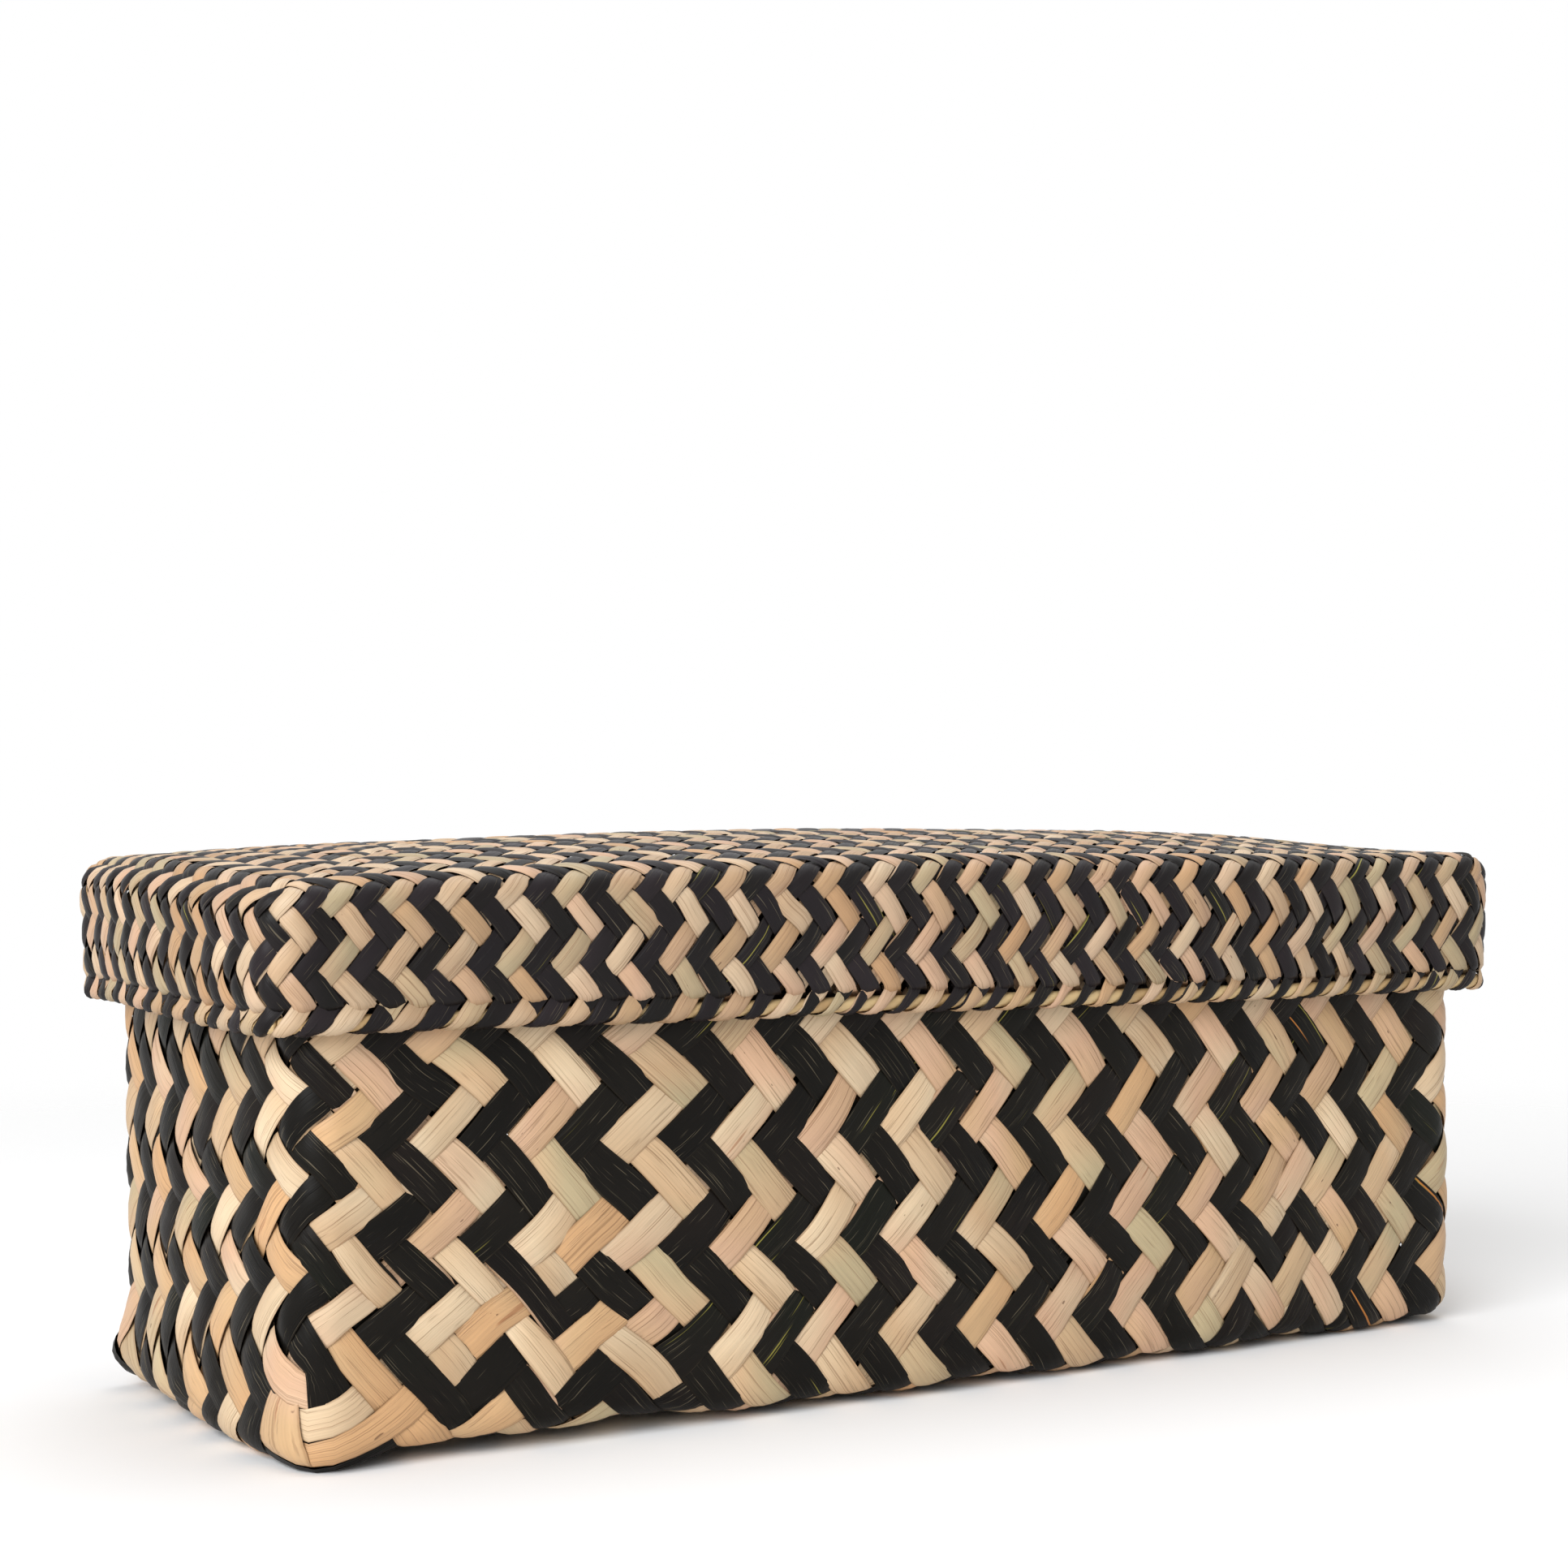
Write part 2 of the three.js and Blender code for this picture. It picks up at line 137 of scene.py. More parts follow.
def dress(piece: bpy.types.Object, material: bpy.types.Material, body: str,
          nodes: Sequence[str]) -> None:
    """Give a piece its finish, its body and the solids that it stands for.

    Args:
        piece: The object.
        material: Its finish.
        body: The CAD body that it moves with.
        nodes: The CAD nodes that it stands for.
    """
    piece.data.materials.append(material)
    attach(piece, body)
    if nodes:
        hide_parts(*nodes)
    log.info("%s: %d points, rides on %s", piece.name, len(piece.data.vertices), body)


class Slant(Enum):
    """Which way a strip runs on a wall, seen from outside."""

    RISING = "up to the right"
    FALLING = "down to the right"


class Family(Enum):
    """The two sets of strips that cross on the panel."""

    OUTWARD = "from the front left to the back right"
    INWARD = "from the back left to the front right"


class Tone(Enum):
    """The two kinds of leaf."""

    NATURAL = "natural"
    DARK = "dark"


@dataclass(frozen=True)
class Crossing:
    """What one strip does in one square of the lattice."""

    over: bool
    tone: Tone


@dataclass(frozen=True)
class Net:
    """The plait's lattice over a panel and its four walls, opened flat and counted in half pitches.

    The walls hang from the panel. Along the panel's outline u runs from the front left corner to the right,
    and a depth runs down the walls from it. A strip's own squares are 1 long, and a half pitch is one
    square's diagonal.
    """

    long_count: int
    short_count: int
    rising_over: tuple[int, int]
    natural_rising: int
    natural_falling: int

    @property
    def round_count(self) -> int:
        """Half pitches once round the outline."""
        return 2 * (self.long_count + self.short_count)

    def members(self, family: Family) -> range:
        """Number the strips of a family.

        Args:
            family: The family.

        Returns:
            The numbers of its strips.
        """
        if family is Family.OUTWARD:
            return range(-self.short_count, self.long_count)
        return range(self.long_count + self.short_count)

    def span(self, family: Family, across: np.ndarray) -> tuple[np.ndarray, np.ndarray]:
        """Where a line of a family enters and leaves the panel.

        Args:
            family: The family that the line belongs to.
            across: The line's place across its family, in squares.

        Returns:
            The two places along the line, in squares.
        """
        if family is Family.OUTWARD:
            return np.abs(across), np.minimum(2 * self.long_count - across, 2 * self.short_count + across)
        return (np.maximum(-across, across - 2 * self.short_count),
                np.minimum(across, 2 * self.long_count - across))

    def trace(self, family: Family, across: np.ndarray, along: np.ndarray) -> tuple[np.ndarray, ...]:
        """Follow lines of a family over the panel and down the walls at both ends.

        Args:
            family: The family that the lines belong to.
            across: The lines' places across their family, in squares.
            along: The places along them, in squares, of a shape that broadcasts with across.

        Returns:
            The places x and y on the panel's outline or inside it, the depth down a wall, all in half
            pitches, and u along the outline, which counts only where the depth is over 0.
        """
        across, along = np.broadcast_arrays(across, along)
        enter, leave = self.span(family, across)
        before = np.maximum(enter - along, 0.0)
        after = np.maximum(along - leave, 0.0)
        inside = np.clip(along, enter, leave)
        if family is Family.OUTWARD:
            x, y = (across + inside) / 2, (inside - across) / 2
            u_before = across - np.where(across >= 0, 1, -1) * before / 2
            to_right = 2 * self.long_count - across <= 2 * self.short_count + across
            u_after = 2 * self.long_count - across + np.where(to_right, 1, -1) * after / 2
        else:
            x, y = (inside + across) / 2, (across - inside) / 2
            u_before = -across - np.where(across < self.short_count, 1, -1) * before / 2
            u_after = across + np.where(across < self.long_count, 1, -1) * after / 2
        depth = (before + after) / 2
        u = np.where(along <= enter, u_before, u_after)
        outline_x, outline_y = self.outline(u)
        return (np.where(depth > 0, outline_x, x), np.where(depth > 0, outline_y, y), depth, u)

    def outline(self, u: np.ndarray) -> tuple[np.ndarray, np.ndarray]:
        """Follow the panel's outline.

        Args:
            u: Places along it, in half pitches.

        Returns:
            The places' x and y, in half pitches.
        """
        m, n = self.long_count, self.short_count
        stops = [0, m, m + n, 2 * m + n, 2 * m + 2 * n]
        turned = np.mod(u, self.round_count)
        return np.interp(turned, stops, [0, m, m, 0, 0]), np.interp(turned, stops, [0, 0, n, n, 0])

    def panel_square(self, family: Family, own: int, other: int) -> tuple[Slant, int, int]:
        """Read a square of the panel as a square of the nearest wall, folded up flat.

        Args:
            family: The family of the strip that is followed.
            own: That strip's number.
            other: The crossing strip's number.

        Returns:
            The strip's slant there, and the numbers of the rising and the falling strip.
        """
        m, n = self.long_count, self.short_count
        i, j = (own, other) if family is Family.OUTWARD else (other, own)
        x, y = (i + j + 1) / 2, (j - i) / 2
        distances = dict(zip(SIDES, (y, m - x, n - y, x)))
        nearest = min(SIDES, key=distances.get)
        rising, falling = {
            "front": (i, j),
            "right": (j, 2 * m - 1 - i),
            "back": (2 * m - 1 - i, 2 * m + 2 * n - 1 - j),
            "left": (-1 - j, i),
        }[nearest]
        outward_rises = nearest in ("front", "back")
        slant = Slant.RISING if outward_rises == (family is Family.OUTWARD) else Slant.FALLING
        return slant, rising, falling

    def wall_slant(self, family: Family, across: float, at_start: bool) -> Slant:
        """Find a strip's slant on the wall at one of its ends.

        Args:
            family: The strip's family.
            across: The place of its middle across the family, in squares.
            at_start: Whether the strip's start is meant, and not its end.

        Returns:
            The slant.
        """
        if family is Family.OUTWARD:
            rises = across >= 0 if at_start else 2 * self.long_count - across > 2 * self.short_count + across
        else:
            rises = across < self.short_count if at_start else across >= self.long_count
        return Slant.RISING if rises else Slant.FALLING

    def rising_on_top(self, rising: int, falling: int) -> bool:
        """Whether the rising strip passes over the falling one where they cross."""
        return (falling - rising) % 4 in self.rising_over

    def natural_falling_at(self, rising: int, falling: int) -> int:
        """Which falling strips are natural where these two cross: 0 for the even ones, 1 for the odd ones."""
        return self.natural_falling

    def crossing(self, family: Family, own: int, other: int) -> Crossing:
        """Find what a strip does in one square.

        Args:
            family: The strip's family.
            own: The strip's number.
            other: The crossing strip's number.

        Returns:
            Whether it passes over, and its tone there.
        """
        centre, along = own + 0.5, other + 0.5
        enter, leave = (float(v) for v in self.span(family, np.float64(centre)))
        _, _, depth, u = (float(v) for v in self.trace(family, np.float64(centre), np.float64(along)))
        if enter < along < leave:
            slant, rising, falling = self.panel_square(family, own, other)
        else:
            slant = self.wall_slant(family, centre, along <= enter)
            rising, falling = math.floor(u + depth), math.floor(u - depth)
        rising_top = self.rising_on_top(rising, falling)
        number, natural = ((rising, self.natural_rising) if slant is Slant.RISING
                           else (falling, self.natural_falling_at(rising, falling)))
        tone = Tone.NATURAL if number % 2 == natural else Tone.DARK
        return Crossing(over=rising_top == (slant is Slant.RISING), tone=tone)


@dataclass(frozen=True)
class BasketNet(Net):
    """The basket's lattice, upside down, with two wedges low on the front where the twill is on its side.

    A wedge begins at one of wedge_starts. From there it takes in the rising strips up to wedge_rising, and
    the falling strips from wedge_falling on. The first of those goes on a little past the wedge.
    """

    wedge_starts: tuple[int, ...] = (0, 18)
    wedge_falling: int = 2
    wedge_rising: int = 7
    wedge_over: tuple[int, int] = (0, 1)
    first_strip_goes_on: int = 2

    def rising_on_top(self, rising: int, falling: int) -> bool:
        """Say whether the rising strip passes over the falling one, by the turned twill in a wedge.

        Args:
            rising: The rising strip's number.
            falling: The falling strip's number.

        Returns:
            Whether the rising one is on top.
        """
        for start in self.wedge_starts:
            if falling >= start + self.wedge_falling and start <= rising <= start + self.wedge_rising:
                return (rising + falling) % 4 in self.wedge_over
        return super().rising_on_top(rising, falling)

    def natural_falling_at(self, rising: int, falling: int) -> int:
        """Say which falling strips are natural, which changes over in a wedge and where its first strip ends.

        Args:
            rising: The rising strip's number.
            falling: The falling strip's number.

        Returns:
            0 for the even ones, 1 for the odd ones.
        """
        for start in self.wedge_starts:
            first = start + self.wedge_falling
            last = start + self.wedge_rising + (self.first_strip_goes_on if falling == first else 0)
            if falling >= first and start <= rising <= last:
                return 1 - self.natural_falling
        return self.natural_falling


@dataclass
class RibbonMesh:
    """Gathers ribbons into one mesh, each with eight rails, and keeps what the grain needs at each point."""

    rails: int = 8
    edge_rails: tuple[int, int] = (0, 4)
    points: list[np.ndarray] = field(default_factory=list)
    grain: list[np.ndarray] = field(default_factory=list)
    leaf: list[np.ndarray] = field(default_factory=list)
    faces: list[np.ndarray] = field(default_factory=list)
    caps: list[np.ndarray] = field(default_factory=list)
    count: int = 0

    def add(self, rings: np.ndarray, grain: np.ndarray, leaf: Sequence[float], flip: bool) -> None:
        """Add one closed ribbon.

        Args:
            rings: Points by station and rail, going round the section.
            grain: For each point, the distance along, across and a shift of its own for the grain.
            leaf: Three numbers from 0 to 1 that set this strip's shade.
            flip: Whether the rails go round the other way, as in a mirrored shell.
        """
        stations, rails = rings.shape[:2]
        ids = self.count + np.arange(stations * rails).reshape(stations, rails)
        turned = np.roll(ids, -1, axis=1)
        quads = np.stack([ids[:-1], turned[:-1], turned[1:], ids[1:]], axis=-1).reshape(-1, 4)
        ends = np.stack([ids[0][::-1], ids[-1]])
        if flip:
            quads, ends = quads[:, ::-1], ends[:, ::-1]
        self.points.append(rings.reshape(-1, 3))
        self.grain.append(grain.reshape(-1, 3))
        self.leaf.append(np.tile(np.asarray(leaf, float), (stations * rails, 1)))
        self.faces.append(quads)
        self.caps.append(ends)
        self.count += stations * rails

    def build(self, name: str) -> bpy.types.Object:
        """Make the mesh object with its grain attributes and its crisp strip edges.

        Args:
            name: The object's name.

        Returns:
            The linked object.
        """
        mesh = bpy.data.meshes.new(name)
        quads = np.concatenate(self.faces)
        caps = np.concatenate(self.caps)
        loops = np.concatenate([quads.ravel(), caps.ravel()])
        sizes = np.concatenate([np.full(len(quads), 4), np.full(len(caps), self.rails)])
        starts = np.concatenate([[0], np.cumsum(sizes)[:-1]])
        mesh.vertices.add(self.count)
        mesh.vertices.foreach_set("co", np.concatenate(self.points).astype(np.float32).ravel())
        mesh.loops.add(len(loops))
        mesh.loops.foreach_set("vertex_index", loops.astype(np.int32))
        mesh.polygons.add(len(sizes))
        mesh.polygons.foreach_set("loop_start", starts.astype(np.int32))
        mesh.update(calc_edges=True)
        for label, values in (("grain", self.grain), ("leaf", self.leaf)):
            attribute = mesh.attributes.new(label, "FLOAT_VECTOR", "POINT")
            attribute.data.foreach_set("vector", np.concatenate(values).astype(np.float32).ravel())
        mesh.shade_smooth()
        ends = np.empty(len(mesh.edges) * 2, np.int32)
        mesh.edges.foreach_get("vertices", ends)
        slots = ends.reshape(-1, 2) % self.rails
        crisp = (slots[:, 0] == slots[:, 1]) & np.isin(slots[:, 0], self.edge_rails)
        sharp = mesh.attributes.new("sharp_edge", "BOOLEAN", "EDGE")
        sharp.data.foreach_set("value", crisp)
        mesh.validate()
        return linked(name, mesh)


@dataclass
class Tube:
    """A round cane along a line of points."""

    radius: float
    sides: int = 14
    thinning: float = 0.05

    def build(self, name: str, path: np.ndarray, seed: int) -> bpy.types.Object:
        """Make the cane.

        Args:
            name: The object's name.
            path: The points of its middle line.
            seed: Sets how its thickness varies.

        Returns:
            The linked object.
        """
        random = np.random.default_rng(seed)
        way = np.gradient(path, axis=0)
        way /= np.linalg.norm(way, axis=1)[:, None]
        up = np.array([0.0, 0.0, 1.0])
        beside = np.cross(way, up)
        beside /= np.linalg.norm(beside, axis=1)[:, None]
        angles = np.arange(self.sides) / self.sides * 2 * math.pi
        swell = 1 - self.thinning * random.uniform(0, 1, len(path))
        ring = np.cos(angles)[None, :, None] * beside[:, None, :] + np.sin(angles)[None, :, None] * up
        points = path[:, None, :] + ring * (self.radius * swell)[:, None, None]
        ids = np.arange(points.shape[0] * self.sides).reshape(-1, self.sides)
        turned = np.roll(ids, -1, axis=1)
        quads = np.stack([ids[:-1], ids[1:], turned[1:], turned[:-1]], axis=-1).reshape(-1, 4)
        faces = [*quads.tolist(), ids[0].tolist(), ids[-1][::-1].tolist()]
        mesh = bpy.data.meshes.new(name)
        mesh.from_pydata(points.reshape(-1, 3).tolist(), [], faces)
        mesh.shade_smooth()
        return linked(name, mesh)


@dataclass(frozen=True)
class RimFold:
    """How a strip goes on past the wall's end, round the rim's cane: outward and down in its section."""

    outward: tuple[float, ...]
    down: tuple[float, ...]
    stations: int = 60
    evening: int = 2

    def evened(self, values: np.ndarray) -> np.ndarray:
        """Take the corners out of a run of values."""
        window = 2 * self.evening + 1
        return np.convolve(np.pad(values, self.evening, mode="edge"), np.ones(window) / window, mode="valid")

    def table(self) -> np.ndarray:
        """Work the fold out at even steps.

        Returns:
            Rows of the distance along it, outward, down, and its outer normal's outward and down parts.
        """
        out, down = (np.asarray(values) for values in (self.outward, self.down))
        length = np.concatenate([[0.0], np.cumsum(np.hypot(np.diff(out), np.diff(down)))])
        fine = np.linspace(0.0, length[-1], self.stations)
        fine_out, fine_down = (self.evened(np.interp(fine, length, values)) for values in (out, down))
        slope_out, slope_down = np.gradient(fine_out), np.gradient(fine_down)
        size = np.hypot(slope_out, slope_down) + 1e-12
        return np.stack([fine, fine_out, fine_down, slope_down / size, -slope_out / size])


@dataclass(frozen=True)
class Strip:
    """One strip from rim to rim, and what it does in each of its squares, which are numbered from first on.

    It lies on the panel from enter to leave. Its slants are those on the walls at its start, under True, and
    at its end, under False.
    """

    family: Family
    number: int
    enter: float
    leave: float
    first: int
    crossings: tuple[Crossing, ...]
    slants: dict[bool, Slant]

    @property
    def middle(self) -> float:
        """The place of its middle across its family, in squares."""
        return self.number + 0.5

    @property
    def sides(self) -> np.ndarray:
        """1 for each square where it passes over, and -1 where it passes under."""
        return np.array([1.0 if crossing.over else -1.0 for crossing in self.crossings])

    def floats(self) -> list[tuple[int, int]]:
        """Find the stretches of squares over which the strip stays on one side.

        Returns:
            The start and the end of each stretch, in squares from the first.
        """
        stretches, start = [], 0
        for k in range(1, len(self.crossings) + 1):
            if k == len(self.crossings) or self.crossings[k].over != self.crossings[start].over:
                stretches.append((start, k))
                start = k
        return stretches

    def runs(self) -> list[tuple[float, float, Tone]]:
        """Join the floats into runs of one tone, which change in the middle of a hidden float.

        Returns:
            The start, the end and the tone of each run, in squares from the first.
        """
        found: list[tuple[float, float, Tone]] = []
        floats = self.floats()
        before = floats[0]
        for start, stop in floats:
            tone = self.crossings[(start + stop - 1) // 2].tone
            if found and found[-1][2] is tone:
                found[-1] = (found[-1][0], stop, tone)
            elif found:
                change = sum(before) / 2 if self.crossings[start].over else (start + stop) / 2
                found[-1] = (found[-1][0], change, found[-1][2])
                found.append((change, stop, tone))
            else:
                found.append((start, stop, tone))
            before = (start, stop)
        return found

    def waved(self, places: np.ndarray) -> np.ndarray:
        """Follow the strip's way over and under, level in a float and eased between floats.

        Args:
            places: Places along it, in squares from the first.

        Returns:
            Its height at each place, from -1 to 1.
        """
        sides, centres = self.sides, places - 0.5
        low = np.clip(np.floor(centres).astype(int), 0, len(sides) - 1)
        high = np.clip(low + 1, 0, len(sides) - 1)
        return sides[low] + (sides[high] - sides[low]) * ease(centres - np.floor(centres))


@dataclass(frozen=True)
class Course:
    """One run of a strip before it gets its width.

    Its stations are places along the strip, in squares of the net. At each of them it has the height of its
    middle, how far it is on top, from -1 to 1, its place across its family, how much of a square it fills,
    and how far its middle arches over its edges. It also says whether a station belongs to the strip's
    starting half, and whether it is kept.
    """

    strip: Strip
    along: np.ndarray
    height: np.ndarray
    top: np.ndarray
    middle: np.ndarray
    fullness: np.ndarray
    crown: np.ndarray
    starts: np.ndarray
    kept: np.ndarray


@dataclass(kw_only=True)
class Shell:
    """A plaited shell, the basket's or the lid's: its finishes, its lattice, its size and how its strips lie.

    Its length and width are those at the middle of the plait. A strip's fullness is the share of its square
    that it fills, as a mean and a spread. A lining is a leaf of the other tone, which lies under a run and
    shows at its side.
    """

    natural: bpy.types.Material
    dark: bpy.types.Material
    body: str
    panel_node: str
    net: Net
    length: float
    width: float
    panel_height: float
    upside_down: bool
    edge_radius: float
    short_edge_radius: float
    corner_radius: float
    first_row: float
    row: float
    rows: int
    wall_end: float
    strip_width: float
    strip_thickness: float
    wave: float
    crown: float
    shift: float
    seed: int
    steps: int = 4
    long_bow: float = 2.8 * MM
    short_bow: float = 4.4 * MM
    short_relief: float = 1.6
    relief_blend: float = 2.0
    drift_size: float = 0.32 * MM
    drift_waves: int = 7
    drift_lengths: Pair = (50.0 * MM, 150.0 * MM)
    unevenness: float = 0.045
    uneven_step: float = 1.7
    fullness: Pair = (0.985, 0.025)
    fullness_step: float = 2.0
    fullness_change: float = 0.03
    most_fullness: float = 1.02
    swell: Pair = (0.1, 0.6)
    flattening: float = 0.8
    flattening_reach: float = 2.0 * MM
    bare_end: float = 0.5 * MM
    lined_share: float = 0.2
    lining_aside: Pair = (0.05, 0.12)
    lining_below: float = 0.8
    lining_thickness: float = 0.6
    corner_gap: float = 0.01
    grain_shift: float = 40.0
    outer_fold: Union[RimFold, None] = None
    inner_fold: Union[RimFold, None] = None

    def __post_init__(self) -> None:
        """Set up the rows, the random numbers and the drift that the whole shell shares."""
        self.row_depths = (0.0, *(self.first_row + self.row * k for k in range(self.rows)))
        self.random = np.random.default_rng(self.seed)
        count = self.drift_waves
        lengths = self.random.uniform(*self.drift_lengths, count)
        ways = self.random.normal(size=(count, 3))
        ways /= np.linalg.norm(ways, axis=1)[:, None]
        self.wave_ways = ways * (2 * math.pi / lengths)[:, None]
        self.wave_phases = self.random.uniform(0, 2 * math.pi, count)
        self.wave_moves = self.random.normal(size=(count, 3)) * self.drift_size
        self.strips = {tone: RibbonMesh() for tone in Tone}

    def drift(self, points: np.ndarray) -> np.ndarray:
        """The slow unevenness of hand work at points of the shell."""
        return np.sin(points @ self.wave_ways.T + self.wave_phases) @ self.wave_moves

    def depth_below(self, rows: np.ndarray) -> np.ndarray:
        """Distance down the wall for a depth in rows."""
        return np.interp(rows, np.arange(len(self.row_depths)), self.row_depths)

    def rows_down(self, depth: float) -> float:
        """Depth in rows for a distance down the wall."""
        return float(np.interp(depth, self.row_depths, np.arange(len(self.row_depths))))

    def fold_of(self, slant: Slant) -> Union[RimFold, None]:
        """How strips go round the rim: those that rise pass outside its cane, and those that fall inside."""
        return self.outer_fold if slant is Slant.RISING else self.inner_fold

    def shaped(self, points: np.ndarray) -> np.ndarray:
        """Bow, lean and crown a rounded box's points and bring them into place, as each shell says."""
        raise NotImplementedError

    def bowed(self, points: np.ndarray) -> np.ndarray:
        """Bow the four sides outwards in plan.

        Args:
            points: Points round the panel's middle.

        Returns:
            The moved points.
        """
        half_x, half_y = self.length / 2, self.width / 2
        x, y, z = np.moveaxis(points, -1, 0)
        far_x, far_y = np.clip(x / half_x, -1, 1), np.clip(y / half_y, -1, 1)
        return np.stack([x * (1 + self.short_bow * (1 - far_y**2) / half_x),
                         y * (1 + self.long_bow * (1 - far_x**2) / half_y), z], axis=-1)

    def place(self, x: np.ndarray, y: np.ndarray, rows: np.ndarray, height: np.ndarray,
              fold: Union[RimFold, None]) -> np.ndarray:
        """Put points of the flat net on the rounded shell.

        Args:
            x: Place along the panel, in half pitches.
            y: Place across the panel, in half pitches.
            rows: Depth down the wall, in rows.
            height: How far a point stands off the plait's middle, in metres.
            fold: How the strip goes round the rim, or None where it ends at the wall's end.

        Returns:
            The points in the row frame.
        """
        half_x, half_y = self.length / 2, self.width / 2
        flat_x, flat_y, depth = self.flat(x, y, rows)
        core_x, core_y = half_x - self.corner_radius, half_y - self.corner_radius
        past_x, past_y = np.maximum(np.abs(flat_x) - core_x, 0.0), np.maximum(np.abs(flat_y) - core_y, 0.0)
        way_x, way_y = quarter(past_x, past_y)
        edge = self.edge_radius + (self.short_edge_radius - self.edge_radius) * way_x**2
        past = np.maximum(depth - self.wall_end, 0.0)
        fallen = np.minimum(depth, self.wall_end)
        inset = np.maximum(np.minimum(half_x - np.abs(flat_x), half_y - np.abs(flat_y)), 0.0)
        out, up = quarter(np.maximum(edge - inset, 0.0), np.maximum(edge - fallen, 0.0))
        on_edge = (inset < edge) & (fallen < edge)
        moved = np.where(on_edge, edge * (1 - out), inset)
        level = np.where(on_edge, edge * (1 - up), fallen)
        reach = self.corner_radius - moved
        side_x, side_y = np.sign(flat_x), np.sign(flat_y)
        points = np.stack([side_x * (np.minimum(np.abs(flat_x), core_x) + reach * way_x),
                           side_y * (np.minimum(np.abs(flat_y), core_y) + reach * way_y), -level], axis=-1)
        outward = np.stack([side_x * way_x, side_y * way_y, np.zeros_like(up)], axis=-1)
        normal = outward * out[..., None]
        normal[..., 2] = up
        far = past > 0
        points += normal * np.where(far, 0.0, height)[..., None]
        if fold is None:
            points[..., 2] -= past
            points += outward * np.where(far, height, 0.0)[..., None]
        else:
            table = fold.table()
            out_by, down_by, normal_out, normal_down = (np.interp(past, table[0], row) for row in table[1:])
            points += outward * np.where(far, out_by + normal_out * height, 0.0)[..., None]
            points[..., 2] -= np.where(far, down_by + normal_down * height, 0.0)
        placed = self.shaped(points)
        placed = placed + self.drift(placed)
        placed[..., 0] += self.shift
        return self.settled(placed)

    def settled(self, placed: np.ndarray) -> np.ndarray:
        """Let the finished plait give where something presses on it. A shell may say otherwise."""
        return placed

    def flat(self, x: np.ndarray, y: np.ndarray, rows: np.ndarray) -> tuple[np.ndarray, ...]:
        """Lay the net flat at its size. A shell whose net is drawn askew says otherwise.

        Args:
            x: Place along the panel, in half pitches.
            y: Place across the panel, in half pitches.
            rows: Depth down the wall, in rows.

        Returns:
            The place along and across from the panel's middle, and the depth down the wall, in metres.
        """
        return ((x / self.net.long_count - 0.5) * self.length, (y / self.net.short_count - 0.5) * self.width,
                self.depth_below(rows))

    def rim_line(self, u: np.ndarray, outward: float, down: float) -> np.ndarray:
        """A line along the rim.

        Args:
            u: Places along the panel's outline, in half pitches.
            outward: How far the line lies outside the plait's middle.
            down: How far it lies below the wall's end.

        Returns:
            Its points in the row frame.
        """
        x, y = self.net.outline(u)
        rows = np.full_like(x, self.rows_down(self.wall_end))
        line = self.place(x, y, rows, np.full_like(x, outward), None)
        return line - np.array([0.0, 0.0, down])

    def rim_cells(self) -> int:
        """Count the squares that a strip runs down a wall, its fold included.

        Returns:
            The count, rounded up.
        """
        deepest = self.wall_end
        if self.outer_fold is not None:
            deepest += self.outer_fold.table()[0][-1]
        return math.ceil(2 * self.rows_down(deepest))

    def build(self) -> None:
        """Lay every strip, and build and dress the plait. Its natural strips stand for all of its solids."""
        for family in Family:
            for number in self.net.members(family):
                self.lay(family, number)
        nodes = [self.panel_node, *(f"{self.body}_{side}_plait" for side in SIDES)]
        for tone, finish, solids in ((Tone.NATURAL, self.natural, nodes), (Tone.DARK, self.dark, [])):
            piece = self.strips[tone].build(f"{self.body}_{tone.value}_strips")
            dress(piece, finish, self.body, solids)

    def lay(self, family: Family, number: int) -> None:
        """Lay one strip from rim to rim, in runs of one tone.

        Args:
            family: The family that the strip belongs to.
            number: The strip's number in it.
        """
        enter, leave = (float(v) for v in self.net.span(family, np.float64(number + 0.5)))
        first, last = math.floor(enter) - self.rim_cells(), math.ceil(leave) + self.rim_cells()
        crossings = tuple(self.net.crossing(family, number, k) for k in range(first, last))
        slants = {at_start: self.net.wall_slant(family, number + 0.5, at_start) for at_start in (True, False)}
        strip = Strip(family, number, enter, leave, first, crossings, slants)
        for start, stop, tone in strip.runs():
            self.ribbon(strip, start, stop, tone)

    def ribbon(self, strip: Strip, start: float, stop: float, tone: Tone) -> None:
        """Make the ribbon of one run of a strip, and now and then a lining under it.

        Args:
            strip: The strip.
            start: Where the run starts, in squares from the strip's first.
            stop: Where it ends, in the same squares.
            tone: The run's tone.
        """
        random = self.random
        places = np.arange(int(start * self.steps), int(stop * self.steps) + 1) / self.steps
        along = places + strip.first
        _, _, rows, u = self.net.trace(strip.family, np.full_like(along, strip.middle), along)
        past = np.maximum(self.depth_below(rows) - self.wall_end, 0.0)
        wave, relief = strip.waved(places), self.relief(u, rows)
        height = (wave + self.bulge(strip, places)) * self.wave * relief
        height = height * (1 - self.flattening * ease(past / self.flattening_reach))
        fullness = random.normal(*self.fullness)
        fullness = fullness + wander(places, self.fullness_step, self.fullness_change, random)
        fullness = np.minimum(fullness - self.fullness_change * (1 - wave), self.most_fullness)
        starts = along < (strip.enter + strip.leave) / 2
        course = Course(
            strip=strip, along=along, height=height, top=np.clip(wave, -1, 1),
            middle=strip.middle + wander(places, self.uneven_step, self.unevenness, random),
            fullness=fullness * self.pinch(u, past, random), crown=self.crown * relief, starts=starts,
            kept=self.limit_to_fold(past, starts, strip.slants))
        if np.count_nonzero(course.kept) < 2:
            return
        self.add_leaf(course, tone, 0.0, 0.0, self.strip_thickness)
